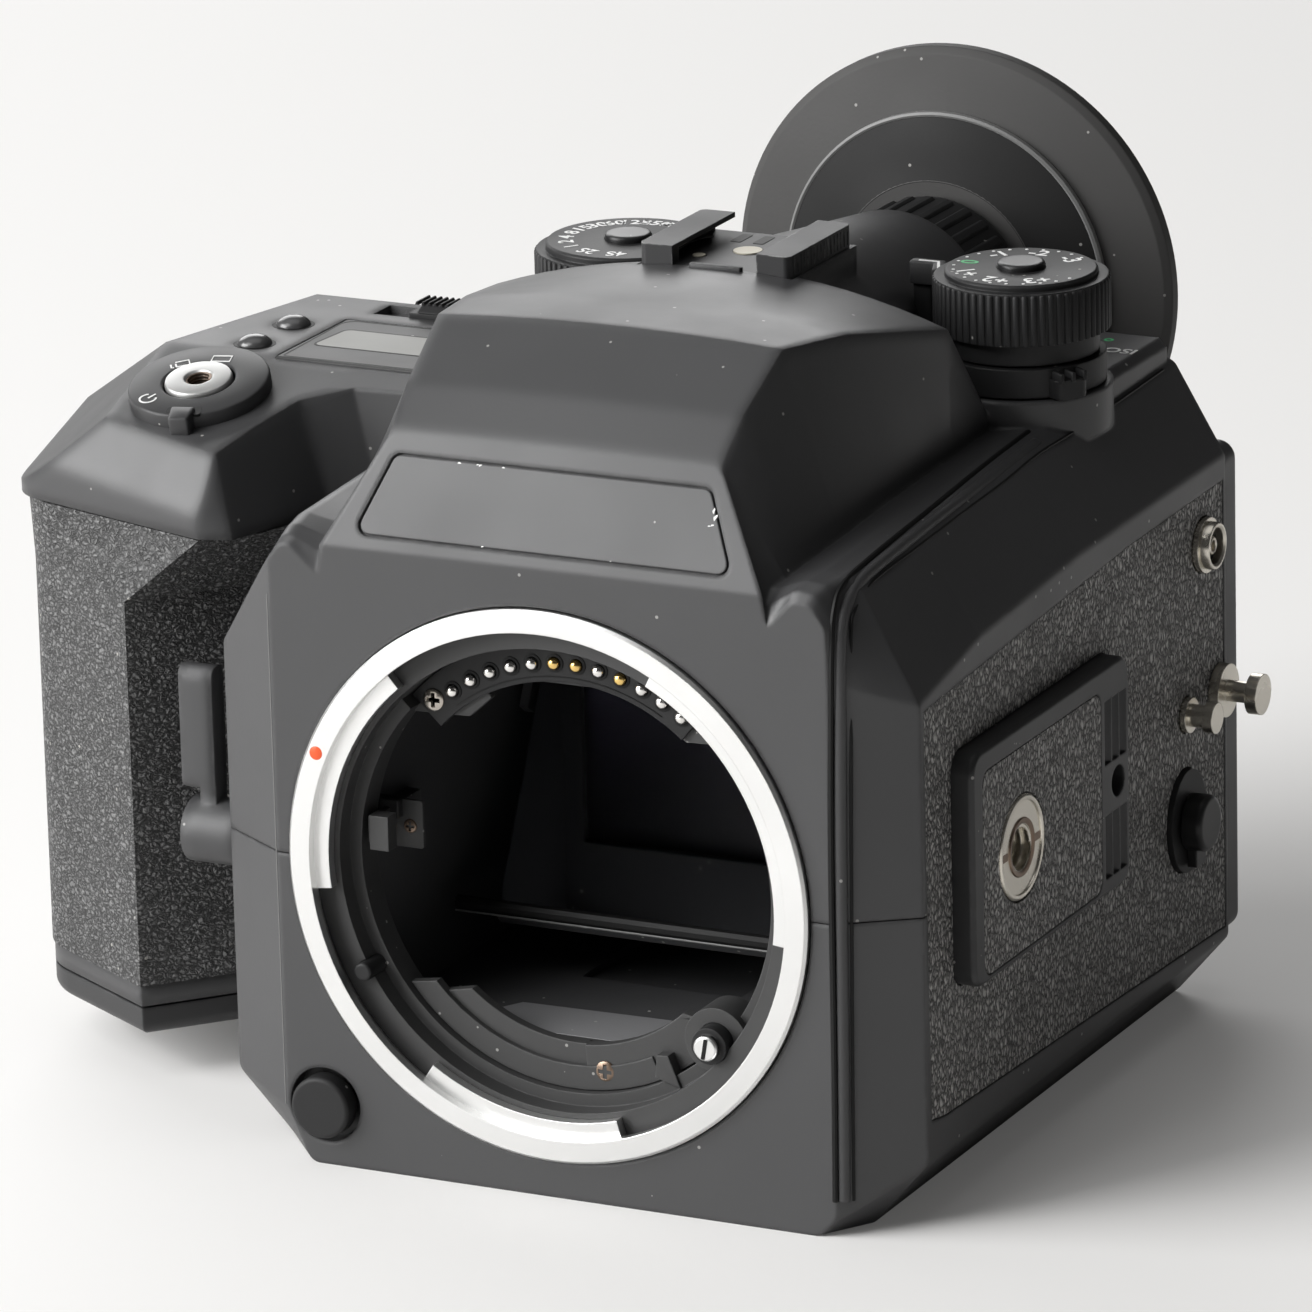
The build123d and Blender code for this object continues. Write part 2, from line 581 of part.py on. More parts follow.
with BuildPart() as side_leather:
    with BuildSketch(Plane.YZ.offset(recess_x)):
        polygon_face(leather_outline, 0.15)
        side_sketch_rectangle(plate_y, plate_z, 3.0, 0.15, Mode.SUBTRACT)
        side_disc(sync_yz, sync_radius + 0.2)
        side_disc(lug_yz, 2.7)
        side_disc(stud_yz, 1.6)
        with Locations(remote_centre_yz):
            Ellipse(6.3, 7.6, mode=Mode.SUBTRACT)
    extrude(amount=leather_skin)
    with BuildSketch(Plane.YZ.offset(plate_face_x - 0.6)):
        side_sketch_rectangle(plate_leather_y, plate_leather_z, 2.0, -0.15)
        side_disc(side_bush_yz, side_bush_radius + 0.3)
    extrude(amount=0.6)
save(side_leather, "side_leather")

with BuildPart() as side_tripod_plate:
    with BuildSketch(Plane.YZ.offset(recess_x)):
        side_sketch_rectangle(plate_y, plate_z, 3.0)
        side_disc(side_bush_yz, side_bush_radius + 0.05)
    extrude(amount=plate_face_x - recess_x)
    chamfer(side_tripod_plate.faces().sort_by(Axis.X)[-1].outer_wire().edges(), 0.5)
    with BuildSketch(Plane.YZ.offset(plate_face_x - 0.6)):
        side_sketch_rectangle(plate_leather_y, plate_leather_z, 2.0)
    extrude(amount=1, mode=Mode.SUBTRACT)
    rod_x(plate_face_x - 2.2, plate_face_x + 1, *side_pin_yz, 2.2, Mode.SUBTRACT)
    for y in (61.7, 64.2, 66.7):
        for z in (-10.6, 5.6):
            rod_z(z, z + 9.0, plate_face_x + 0.3, y, 1.15, Mode.SUBTRACT)
save(side_tripod_plate, "side_tripod_plate")

with BuildPart() as tripod_bushes:
    rod_x(side_x - 6.5, plate_face_x - 0.1, *side_bush_yz, side_bush_radius)
    rod_x(side_x - 5.5, plate_face_x + 1, *side_bush_yz, thread_radius_quarter, Mode.SUBTRACT)
    rod_z(base_z + 0.1, base_z + wall + bush_flange, *base_bush_xy, base_bush_radius)
    rod_z(base_z + wall, base_z + wall + bush_flange, *base_bush_xy, base_bush_radius + 2)
    rod_z(base_z + wall + bush_flange, base_z + 8.5, *base_bush_xy, base_bush_radius - 2)
    rod_z(base_z - 1, base_z + 7.5, *base_bush_xy, thread_radius_three_eighths, Mode.SUBTRACT)
save(tripod_bushes, "tripod_bushes")

with BuildPart() as strap_lugs:
    rod_x(side_x - 5, recess_x + 0.02, *lug_yz, 1.45)
    rod_x(recess_x + 0.02, side_x + 0.8, *lug_yz, 2.5)
    rod_x(side_x + 0.8, side_x + 3.1, *lug_yz, 1.6)
    rod_x(side_x + 3.1, side_x + 4.6, *lug_yz, 2.2)
    rod_x(side_x - 5, side_x, *stud_yz, 1.15)
    rod_x(side_x, side_x + 1.5, *stud_yz, 3.8)
    rod_x(side_x + 1.5, side_x + 5.0, *stud_yz, 1.5)
    rod_x(side_x + 5.0, side_x + 6.7, *stud_yz, 2.9)
    rod_y(grip_rear_y - 5, grip_rear_y - grip_skin, *grip_lug, 1.45)
    rod_y(grip_rear_y - grip_skin, grip_rear_y + 0.6, *grip_lug, 3.0)
    rod_y(grip_rear_y + 0.6, grip_rear_y + 3.4, *grip_lug, 1.5)
    rod_y(grip_rear_y + 3.4, grip_rear_y + 5.0, *grip_lug, 2.9)
save(strap_lugs, "strap_lugs")

with BuildPart() as sync_socket:
    rod_x(side_x - 5.5, recess_x + 0.02, *sync_yz, sync_radius - 0.8)
    rod_x(recess_x + 0.02, side_x + 0.8, *sync_yz, sync_radius)
    with BuildSketch(Plane.YZ.offset(side_x + 0.8)):
        side_disc(sync_yz, 2.6, Mode.ADD)
        side_disc(sync_yz, 1.2)
    extrude(amount=-4.5, mode=Mode.SUBTRACT)
save(sync_socket, "sync_socket")

remote_bore = 2.0
with BuildPart() as remote_socket:
    with BuildSketch(Plane.YZ.offset(recess_x)):
        with Locations(remote_centre_yz):
            Ellipse(6.1, 7.4)
    extrude(amount=leather_depth + 0.7)
    rod_x(side_x - 7, recess_x, *remote_centre_yz, remote_hole_radius + 0.5)
    rod_x(side_x - 6, side_x + 2, *remote_centre_yz, remote_bore, Mode.SUBTRACT)
save(remote_socket, "remote_socket")

with BuildPart() as remote_cap:
    rod_x(side_x + 0.7 + fit_gap, side_x + 4.0, *remote_centre_yz, 4.0)
    fillet(remote_cap.edges().sort_by(Axis.X)[-1], 0.8)
    rod_x(side_x - 3.5, side_x + 0.7 + fit_gap, *remote_centre_yz, remote_bore - shaft_clearance)
    block(side_x + 1.0, side_x + 2.4, remote_centre_yz[0] - 1.6, remote_centre_yz[0] + 1.6,
          remote_centre_yz[1] - 6.2, remote_centre_yz[1] - 3.4)
save(remote_cap, "remote_cap")

# Lens mount
lock_pin_xz = (-28.6, -15.8)
lock_pin_radius = 1.3
coupler_xz = (22.5, -19.8)
coupler_radius = 2.54
baffle_radius = 36.2
baffle_front_y = 3.1
baffle_rear_y = 10.3
contact_angles = (50.0, 137.0)
contact_ring_radius = 28.8
contact_count = 12
contact_first = 126.4
contact_step = 6.56
contact_pin_radius = 0.9

band_depth = ring_thickness - claw_thickness
with BuildPart() as lens_mount_ring:
    with BuildSketch(depth_plane(0)):
        Circle(ring_outer_radius)
        Circle(ring_band_radius, mode=Mode.SUBTRACT)
    extrude(amount=-band_depth)
    with BuildSketch(depth_plane(band_depth)):
        Circle(ring_outer_radius)
        Circle(pocket_radius, mode=Mode.SUBTRACT)
    extrude(amount=-claw_thickness)
    chamfer(lens_mount_ring.faces().sort_by(Axis.Y)[0].outer_wire().edges(), 0.4)
    with BuildSketch(depth_plane(ring_thickness)):
        Circle(pocket_radius + 0.3)
        Circle(claw_radius, mode=Mode.SUBTRACT)
        for start, end in claw_gaps:
            with BuildSketch(mode=Mode.PRIVATE) as gap:
                sector(pocket_radius, start, end)
            add(gap.sketch, mode=Mode.SUBTRACT)
    extrude(amount=claw_thickness)
save(lens_mount_ring, "lens_mount_ring")

with BuildPart() as mount_baffle:
    with BuildSketch(depth_plane(baffle_front_y)):
        Circle(baffle_radius)
        Circle(32.2, mode=Mode.SUBTRACT)
    extrude(amount=-(6.0 - baffle_front_y))
    with BuildSketch(depth_plane(6.0)):
        Circle(baffle_radius)
        Circle(30.4, mode=Mode.SUBTRACT)
        with BuildSketch(mode=Mode.PRIVATE) as relief:
            sector(32.2, *contact_angles)
        add(relief.sketch, mode=Mode.SUBTRACT)
    extrude(amount=-(baffle_rear_y - 6.0))
    with BuildSketch(depth_plane(8.6)):
        Circle(30.8)
        with Locations((0, 20)):
            Rectangle(80, 88, mode=Mode.SUBTRACT)
    extrude(amount=-(10.2 - 8.6))
    rod_y(baffle_front_y + 1.6, baffle_rear_y, *coupler_xz, 4.6)
    rod_y(0, 12, *coupler_xz, coupler_radius + shaft_clearance, Mode.SUBTRACT)
    rod_y(0, 12, *lock_pin_xz, lock_pin_radius + shaft_clearance, Mode.SUBTRACT)
save(mount_baffle, "mount_baffle")

contact_block_y = (8.4, 10.2)
with BuildPart() as contact_block:
    with BuildSketch(depth_plane(contact_block_y[0])):
        sector(32.0, contact_angles[0] + 0.4, contact_angles[1] - 0.4)
        Circle(26.2, mode=Mode.SUBTRACT)
        with PolarLocations(contact_ring_radius, contact_count, contact_first,
                            -contact_step * (contact_count - 1), endpoint=True):
            Circle(contact_pin_radius + 0.05, mode=Mode.SUBTRACT)
    extrude(amount=-(contact_block_y[1] - contact_block_y[0]))
save(contact_block, "contact_block")

with BuildPart() as contact_pins:
    with BuildSketch(depth_plane(contact_block_y[0] - 0.9)):
        with PolarLocations(contact_ring_radius, contact_count, contact_first,
                            -contact_step * (contact_count - 1), endpoint=True):
            Circle(contact_pin_radius)
    extrude(amount=-2.3)
    fillet(contact_pins.edges().group_by(Axis.Y)[0], 0.35)
save(contact_pins, "contact_pins")

with BuildPart() as lens_lock_pin:
    rod_y(band_depth + 0.1, 10.0, *lock_pin_xz, lock_pin_radius)
    fillet(lens_lock_pin.edges().sort_by(Axis.Y)[0], 0.4)
save(lens_lock_pin, "lens_lock_pin")

with BuildPart() as lens_release_button:
    rod_y(-0.9, 1.8, *release_xz, release_radius)
    fillet(lens_release_button.edges().sort_by(Axis.Y)[0], 0.6)
    rod_y(1.8, 9.5, *release_xz, release_stem_radius)
save(lens_release_button, "lens_release_button")

lever_face_x = box_left - fit_gap
with BuildPart() as preview_lever:
    rod_x(-60.5, lever_face_x, *lever_barrel_yz, 4.6)
    rod_x(lever_face_x, box_left + 5, *lever_barrel_yz, lever_pivot_radius)
    block(-58.6, -56.2, 12.6, 15.8, lever_barrel_yz[1], 4)
    with BuildSketch(Plane.YZ.offset(-61.3)):
        with Locations((14.2, 11.75)):
            RectangleRounded(3.4, 17.5, 1.4)
    extrude(amount=5.1)
save(preview_lever, "preview_lever")

with BuildPart() as aperture_lever:
    block(-29.6, -28.6, 6.6, 20.0, 1.0, 4.6)
    block(-28.8, -26.0, 5.4, 7.8, 0.4, 5.2)
    block(-30.7, -28.6, 12.0, 20.0, -1.0, 4.6)
save(aperture_lever, "aperture_lever")

with BuildPart() as focus_coupler:
    rod_y(2.4, 13.0, *coupler_xz, coupler_radius)
    rod_y(band_depth + 0.1, 2.4, *coupler_xz, 1.7)
    block(coupler_xz[0] - 0.45, coupler_xz[0] + 0.45, 0, 2.2, coupler_xz[1] - 3, coupler_xz[1] + 3,
          Mode.SUBTRACT)
save(focus_coupler, "focus_coupler")

# Mirror box and mirrors
box_plate_y = (panel_y + front_wall + seam_gap, 7.8)
box_wall_x = (31.0, 34.0)
box_floor_z = (-27.5, -24.5)
box_top_z = (25.2, 28.6)
box_rear_y = 64.5
screen_y = (23.0, 60.0)
screen_half = 30.0
screen_seat_z = 26.6
hinge_yz = (61.0, 22.6)
hinge_pin_radius = 1.0
mirror_line = 44.0        # the reflecting side lies on the plane y - z = mirror_line
mirror_end_yz = ((28.5, -15.5), (60.0, 16.0))
mirror_half_front = 22.0
mirror_half_rear = 28.6
mirror_plane = Plane(origin=(0, mirror_end_yz[0][0], mirror_end_yz[0][1]), x_dir=(1, 0, 0),
                     z_dir=(0, -1, 1))
mirror_length = hypot(mirror_end_yz[1][0] - mirror_end_yz[0][0], mirror_end_yz[1][1] - mirror_end_yz[0][1])

with BuildPart() as mirror_box:
    block(panel_left + 3.4, panel_right - 2.4, *box_plate_y, -40.5, 41.5)
    rod_y(box_plate_y[0] - 1, box_plate_y[1] + 1, 0, 0, mount_hole_radius, Mode.SUBTRACT)
    block(-box_wall_x[1], box_wall_x[1], box_plate_y[1], box_rear_y, box_floor_z[0], box_top_z[1])
    block(-box_wall_x[0], box_wall_x[0], box_plate_y[1] - 1, box_rear_y + 1, box_floor_z[1], box_top_z[0],
          Mode.SUBTRACT)
    rod_y(box_plate_y[1] - 1, baffle_rear_y + fit_gap, 0, 0, mount_hole_radius, Mode.SUBTRACT)
    block(-screen_half + 2, screen_half - 2, screen_y[0] + 1.5, screen_y[1] - 1.5, 20, 40, Mode.SUBTRACT)
    block(-screen_half, screen_half, *screen_y, screen_seat_z, 40, Mode.SUBTRACT)
    rod_x(-40, 40, *hinge_yz, hinge_pin_radius + shaft_clearance, Mode.SUBTRACT)
    rod_y(0, 9, *release_xz, release_stem_radius + 0.4, Mode.SUBTRACT)
    block(-12, 12, 34, 60, box_floor_z[1] - 1, box_floor_z[1] + 1, Mode.SUBTRACT)
save(mirror_box, "mirror_box")


def mirror_outline(grow=0.0):
    with BuildLine() as outline:
        Polyline((-mirror_half_front - grow, -grow), (mirror_half_front + grow, -grow),
                 (mirror_half_rear + grow, mirror_length + grow),
                 (-mirror_half_rear - grow, mirror_length + grow), close=True)
    make_face(outline.edges())


sub_axis = 28.0           # how far up the mirror the secondary mirror hangs
sub_half = 9.0
sub_length = 13.0
frame_back = 1.5
ear_outer_x = 29.6
ear_thickness = 1.4
with BuildPart() as mirror_frame:
    with BuildSketch(mirror_plane):
        mirror_outline()
        with Locations((0, mirror_length - 3.0)):
            Rectangle(2 * ear_outer_x, 6.0)
        with Locations((0, 22.3)):
            Rectangle(2 * sub_half, 13.0, mode=Mode.SUBTRACT)
    extrude(amount=-frame_back)
    for side in (-1, 1):
        with BuildSketch(Plane.YZ.offset(side * ear_outer_x)):
            with BuildLine():
                Polyline((51.5, 7.0), (53.2, 5.8), (61.6, 14.2), (62.6, 22.6), (61.0, 24.2), (59.4, 22.6),
                         close=True)
            make_face()
        extrude(amount=-side * ear_thickness)
        rod_x(side * (ear_outer_x - ear_thickness), side * (box_wall_x[1] - 0.5), *hinge_yz, hinge_pin_radius)
    with BuildSketch(mirror_plane.offset(-frame_back)):
        for side in (-1, 1):
            with Locations((side * (sub_half + 2.0), sub_axis)):
                Rectangle(1.6, 4.0)
    extrude(amount=-2.4)
    with Locations(mirror_plane * Location((0, sub_axis, -frame_back - 1.3), (0, 90, 0))):
        Cylinder(0.55, 2 * (sub_half + 2.4), mode=Mode.SUBTRACT)
save(mirror_frame, "mirror_frame")

with BuildPart() as mirror_glass:
    with BuildSketch(mirror_plane.offset(0.05)):
        mirror_outline(-0.5)
    extrude(amount=1.6)
    chamfer(mirror_glass.faces().sort_by(Axis((0, 0, 0), (0, -1, 1)))[-1].outer_wire().edges(), 0.25)
save(mirror_glass, "mirror_glass")

with BuildPart() as sub_mirror:
    with Locations(mirror_plane * Location((0, sub_axis, -frame_back - 1.3), (0, 90, 0))):
        Cylinder(0.5, 2 * (sub_half + 2.2))
    with Locations(mirror_plane * Location((0, sub_axis, -frame_back - 1.3 - sub_length / 2))):
        Box(2 * sub_half, 0.8, sub_length)
save(sub_mirror, "sub_mirror")

# Finder
with BuildPart() as focusing_screen:
    block(-screen_half + 0.2, screen_half - 0.2, screen_y[0] + 0.2, screen_y[1] - 0.2, screen_seat_z,
          box_top_z[1] - 0.3)
save(focusing_screen, "focusing_screen")

prism_base_z = box_top_z[1] + fit_gap
with BuildPart() as prism:
    for low, high in (((prism_base_z, 28.0, 22.5, 59.5), (46.0, 24.8, 20.8, 59.5)),
                      ((46.0, 24.8, 20.8, 59.5), (66.0, 14.5, 30.0, 48.0))):
        for z, half, near, far in (low, high):
            with BuildSketch(Plane.XY.offset(z)):
                with Locations((0, (near + far) / 2)):
                    Rectangle(2 * half, far - near)
        loft(ruled=True)
save(prism, "prism")

eyepiece_radius = eyepiece_bore - 0.2
eyepiece_front_y = tube_rear_y - 8.0
eyepiece_rear_y = tube_rear_y - 3.0
eyepiece_sag = 1.3
with BuildPart() as eyepiece_lens:
    with BuildSketch(Plane.YZ):
        with BuildLine():
            rim_z = eyepiece_z + eyepiece_radius
            Line((eyepiece_front_y, eyepiece_z), (eyepiece_rear_y, eyepiece_z))
            middle = cap_middle(eyepiece_radius, eyepiece_sag)
            ThreePointArc((eyepiece_rear_y, eyepiece_z),
                          (eyepiece_rear_y - middle[1], eyepiece_z + middle[0]),
                          (eyepiece_rear_y - eyepiece_sag, rim_z))
            Line((eyepiece_rear_y - eyepiece_sag, rim_z), (eyepiece_front_y + eyepiece_sag, rim_z))
            ThreePointArc((eyepiece_front_y + eyepiece_sag, rim_z),
                          (eyepiece_front_y + middle[1], eyepiece_z + middle[0]),
                          (eyepiece_front_y, eyepiece_z))
        make_face()
    revolve(axis=Axis((0, 0, eyepiece_z), (0, 1, 0)))
save(eyepiece_lens, "eyepiece_lens")

dioptre_radius = 13.5
cup_radius = 33.8
with BuildPart() as dioptre_ring:
    rod_y(tunnel_rear_y + fit_gap, tube_rear_y - 2.0, 0, eyepiece_z, dioptre_radius)
    chamfer(dioptre_ring.edges().filter_by(GeomType.CIRCLE), 0.5)
    rod_y(tunnel_rear_y, tube_rear_y, 0, eyepiece_z, tube_radius + shaft_clearance, Mode.SUBTRACT)
save(dioptre_ring, "dioptre_ring")

# Section of the cup: depth behind the tube's end, distance from the axis
cup_profile = [(-1.7, tube_radius + 0.02), (-1.7, 15.5), (-0.3, 20.0), (0.9, 24.4), (1.9, 24.8), (3.6, 32.8),
               (4.4, cup_radius), (6.2, cup_radius), (8.0, 32.0), (8.0, 30.4), (4.0, 19.0), (2.4, 13.0),
               (2.4, 9.5), (0.2, 9.5), (0.2, tube_radius + 0.02)]
with BuildPart() as eyecup:
    with BuildSketch(Plane.YZ):
        polygon_face([(tube_rear_y + depth, eyepiece_z + radius) for depth, radius in cup_profile])
    revolve(axis=Axis((0, 0, eyepiece_z), (0, 1, 0)))
save(eyecup, "eyecup")

# Accessory shoe
shoe_slot_half = 9.35
shoe_mouth_half = 6.3
shoe_floor = 0.5
shoe_slot_height = 2.0
shoe_lip = 0.7
shoe_top_z = shoe_base_z + shoe_floor + shoe_slot_height + shoe_lip
shoe_contact_spots = ((0.0, 66.0, 2.0), (-5.2, 61.5, 0.9), (5.2, 61.5, 0.9), (5.2, 66.0, 0.9))

with BuildPart() as hot_shoe:
    block(-shoe_half, shoe_half, *shoe_y, shoe_base_z, shoe_top_z)
    block(-shoe_slot_half, shoe_slot_half, shoe_y[0] + 2.0, shoe_y[1] + 1, shoe_base_z + shoe_floor,
          shoe_top_z - shoe_lip, Mode.SUBTRACT)
    block(-shoe_mouth_half, shoe_mouth_half, shoe_y[0] - 1, shoe_y[1] + 1, shoe_base_z + shoe_floor,
          shoe_top_z + 1, Mode.SUBTRACT)
    fillet(hot_shoe.edges().filter_by(Axis.Z).group_by(Axis.X)[0], 1.0)
    fillet(hot_shoe.edges().filter_by(Axis.Z).group_by(Axis.X)[-1], 1.0)
    for x, y, radius in shoe_contact_spots:
        rod_z(shoe_base_z - 1, shoe_base_z + 2, x, y, radius + 0.1, Mode.SUBTRACT)
save(hot_shoe, "hot_shoe")

with BuildPart() as shoe_contacts:
    for x, y, radius in shoe_contact_spots:
        rod_z(shoe_base_z, shoe_base_z + shoe_floor + 0.15, x, y, radius)
save(shoe_contacts, "shoe_contacts")

# Dials
lock_radius = 3.3
lock_travel = 1.0
comp_neck_z = 56.9
comp_knurl_z = (59.9, 67.2)
comp_top_z = 68.1
speed_knurl_z = (speed_collar_z + fit_gap, 64.3)
speed_top_z = 65.4


def dial_lock(centre, top_z):
    rod_z(top_z - 3.0, top_z + 0.9, *centre, lock_radius)


with BuildPart() as compensation_dial:
    rod_z(dial_shaft_bottom_z, comp_neck_z, *comp_dial_xy, dial_shaft_radius)
    rod_z(comp_neck_z, comp_knurl_z[0], *comp_dial_xy, comp_dial_radius - 1.3)
    rod_z(*comp_knurl_z, *comp_dial_xy, comp_dial_radius)
    rod_z(comp_knurl_z[1], comp_top_z, *comp_dial_xy, comp_dial_radius - 1.4)
    chamfer(compensation_dial.edges().group_by(Axis.Z)[-1], 0.3)
    rod_z(comp_top_z - 4.3, comp_top_z + 1, *comp_dial_xy, lock_radius + shaft_clearance, Mode.SUBTRACT)
save(compensation_dial, "compensation_dial")

with BuildPart() as compensation_lock:
    dial_lock(comp_dial_xy, comp_top_z)
    fillet(compensation_lock.edges().sort_by(Axis.Z)[-1], 0.5)
save(compensation_lock, "compensation_lock")

with BuildPart() as metering_lever:
    rod_z(comp_collar_z + fit_gap, comp_neck_z - fit_gap, *comp_dial_xy, 11.5)
    with BuildSketch(Plane.XY.offset(comp_collar_z + fit_gap)):
        with Locations(Location((*comp_dial_xy, 0), (0, 0, -35.0))):
            with Locations((10.6, 0)):
                RectangleRounded(5.6, 5.0, 1.2)
    extrude(amount=2.6)
    rod_z(comp_collar_z, comp_neck_z, *comp_dial_xy, dial_shaft_radius + shaft_clearance, Mode.SUBTRACT)
save(metering_lever, "metering_lever")

with BuildPart() as shutter_dial:
    rod_z(dial_shaft_bottom_z, speed_knurl_z[0], *speed_dial_xy, dial_shaft_radius)
    rod_z(*speed_knurl_z, *speed_dial_xy, speed_dial_radius)
    rod_z(speed_knurl_z[1], speed_top_z, *speed_dial_xy, speed_dial_radius - 1.3)
    chamfer(shutter_dial.edges().group_by(Axis.Z)[-1], 0.3)
    rod_z(speed_top_z - 4.3, speed_top_z + 1, *speed_dial_xy, lock_radius + shaft_clearance, Mode.SUBTRACT)
save(shutter_dial, "shutter_dial")

with BuildPart() as shutter_dial_lock:
    dial_lock(speed_dial_xy, speed_top_z)
    fillet(shutter_dial_lock.edges().sort_by(Axis.Z)[-1], 0.5)
save(shutter_dial_lock, "shutter_dial_lock")

# Controls on the grip deck
switch_radius = 9.9
button_radius = 4.75
button_stem_radius = 3.0
with BuildPart() as power_switch:
    with BuildSketch(switch_plane.offset(-2.6)):
        Circle(switch_hub_radius)
    extrude(amount=3.4)
    with BuildSketch(switch_plane.offset(fit_gap)):
        Circle(switch_radius)
        with Locations((0, -switch_radius)):
            RectangleRounded(3.6, 4.0, 1.2)
    extrude(amount=1.8)
    with BuildSketch(switch_plane.offset(0.8)):
        Circle(button_radius + 0.3)
    extrude(amount=3, mode=Mode.SUBTRACT)
    with BuildSketch(switch_plane.offset(-4)):
        Circle(button_stem_radius + shaft_clearance)
    extrude(amount=8, mode=Mode.SUBTRACT)
save(power_switch, "power_switch")

with BuildPart() as shutter_button:
    with BuildSketch(switch_plane.offset(-4.5)):
        Circle(button_stem_radius)
    extrude(amount=6.5)
    with BuildSketch(switch_plane.offset(1.9)):
        Circle(button_radius)
    extrude(amount=1.6)
    fillet(shutter_button.faces().sort_by(Axis.Z)[-1].outer_wire().edges(), 0.5)
    with BuildSketch(switch_plane.offset(3.6)):
        Circle(1.6)
    extrude(amount=-4.5, mode=Mode.SUBTRACT)
save(shutter_button, "shutter_button")


dome_radius = 2.6
dome_height = 0.7
dome_top_z = grip_deck_z + 1.1


def dome_button(centre):
    rod_z(grip_deck_z - 5.3, grip_deck_z, *centre, dome_stem_radius)
    with BuildSketch(Plane.XZ.offset(-centre[1])) as profile:
        with BuildLine() as outline:
            rim_x = centre[0] + dome_radius
            Line((centre[0], grip_deck_z), (rim_x, grip_deck_z))
            Line((rim_x, grip_deck_z), (rim_x, dome_top_z - dome_height))
            middle = cap_middle(dome_radius, dome_height)
            ThreePointArc((rim_x, dome_top_z - dome_height), (centre[0] + middle[0], dome_top_z - middle[1]),
                          (centre[0], dome_top_z))
            Line((centre[0], dome_top_z), (centre[0], grip_deck_z))
        make_face(outline.edges())
    revolve(profile.sketch, axis=Axis((*centre, 0), (0, 0, 1)))


with BuildPart() as function_button_front:
    dome_button(dome_centres[0])
save(function_button_front, "function_button_front")

with BuildPart() as function_button_rear:
    dome_button(dome_centres[1])
save(function_button_rear, "function_button_rear")

with BuildPart() as display_window:
    block(window_x[0] + 0.1, window_x[1] - 0.1, window_y[0] + 0.1, window_y[1] - 0.1,
          grip_deck_z - window_seat, grip_deck_z)
    chamfer(display_window.edges().group_by(Axis.Z)[-1], 0.25)
save(display_window, "display_window")

with BuildPart() as slide_switch:
    block(-56.5, -48.5, slot_y[0] + 0.3, slot_y[1] - 0.3, grip_deck_z - 0.9, grip_deck_z + 0.6)
    with BuildSketch(Plane.XZ.offset(-(slot_y[0] + 0.8))):
        with BuildLine():
            Polyline((-55.9, grip_deck_z), (-49.1, grip_deck_z), (-50.4, grip_deck_z + 1.9),
                     (-54.6, grip_deck_z + 1.9), close=True)
        make_face()
    extrude(amount=-(slot_y[1] - slot_y[0] - 1.6))
save(slide_switch, "slide_switch")

# Focal plane shutter
gate_half = (28.0, 20.75)
blade_half = 33.2
shutter_half = blade_half + fit_gap + 3.0
shutter_z = (-42.4, 44.0)
shutter_plate_y = (64.8, 65.8)
shutter_rear_y = (68.3, 70.5)
blade_thickness = 0.3
front_lead_y = 66.1
front_follow_y = 66.6
rear_lead_y = 67.2
rear_follow_y = 67.7
blade_height = 21.4

with BuildPart() as shutter_frame:
    block(-shutter_half, shutter_half, *shutter_plate_y, *shutter_z)
    block(-shutter_half, shutter_half, *shutter_rear_y, *shutter_z)
    for side in (-1, 1):
        block(side * (blade_half + fit_gap), side * shutter_half, shutter_plate_y[1],
              shutter_rear_y[0], *shutter_z)
    block(-gate_half[0], gate_half[0], 60, 75, -gate_half[1], gate_half[1], Mode.SUBTRACT)
save(shutter_frame, "shutter_frame")


def blade(y, bottom_z):
    block(-blade_half, blade_half, y, y + blade_thickness, bottom_z, bottom_z + blade_height)


with BuildPart() as front_blade_lead:
    blade(front_lead_y, -0.4)
save(front_blade_lead, "front_blade_lead")

with BuildPart() as front_blade_follow:
    blade(front_follow_y, -21.0)
save(front_blade_follow, "front_blade_follow")

with BuildPart() as rear_blade_lead:
    blade(rear_lead_y, 20.8)
save(rear_blade_lead, "rear_blade_lead")

with BuildPart() as rear_blade_follow:
    blade(rear_follow_y, 20.8)
save(rear_blade_follow, "rear_blade_follow")

# Film back
door_y = (body_rear_y + fit_gap, 115.2)
door_x = (-insert_half - 2.5, side_x - 0.3)
door_z = (-34.5, 36.8)
insert_plate = 2.0
insert_z = 35.0
insert_y = (72.0, 108.0)
spool_y = 92.0
spool_z = 16.5
flange_radius = 12.5
core_radius = 5.5
spool_half = 32.5
flange_thickness = 1.2
spindle_radius = 3.0
gear_module = 0.8
gear_teeth = 30
pinion_teeth = 12
gear_x = (insert_half + 0.4, insert_half + 3.4)
mesh_distance = gear_module * (gear_teeth + pinion_teeth) / 2 + 0.1
pinion_yz = (spool_y - mesh_distance, spool_z)
post_x = 22.0
post_radius = 1.0

with BuildPart() as back_door:
    with BuildSketch(depth_plane(door_y[0])):
        with Locations(((door_x[0] + door_x[1]) / 2, (door_z[0] + door_z[1]) / 2)):
            RectangleRounded(door_x[1] - door_x[0], door_z[1] - door_z[0], 2.5)
    extrude(amount=-(door_y[1] - door_y[0]))
    fillet(back_door.faces().sort_by(Axis.Y)[-1].outer_wire().edges(), 1.2)
    block(-38, 44, door_y[0] - 1, door_y[0] + 2.2, -31, 33, Mode.SUBTRACT)
    block(-30, 30, door_y[1] - 1.2, door_y[1] + 1, -28, 20, Mode.SUBTRACT)
    for x in (-32, 32):
        for z in (-26, 26):
            rod_y(insert_y[1] - 0.1, door_y[0] + 2.4, x, z, 3.0)
save(back_door, "back_door")

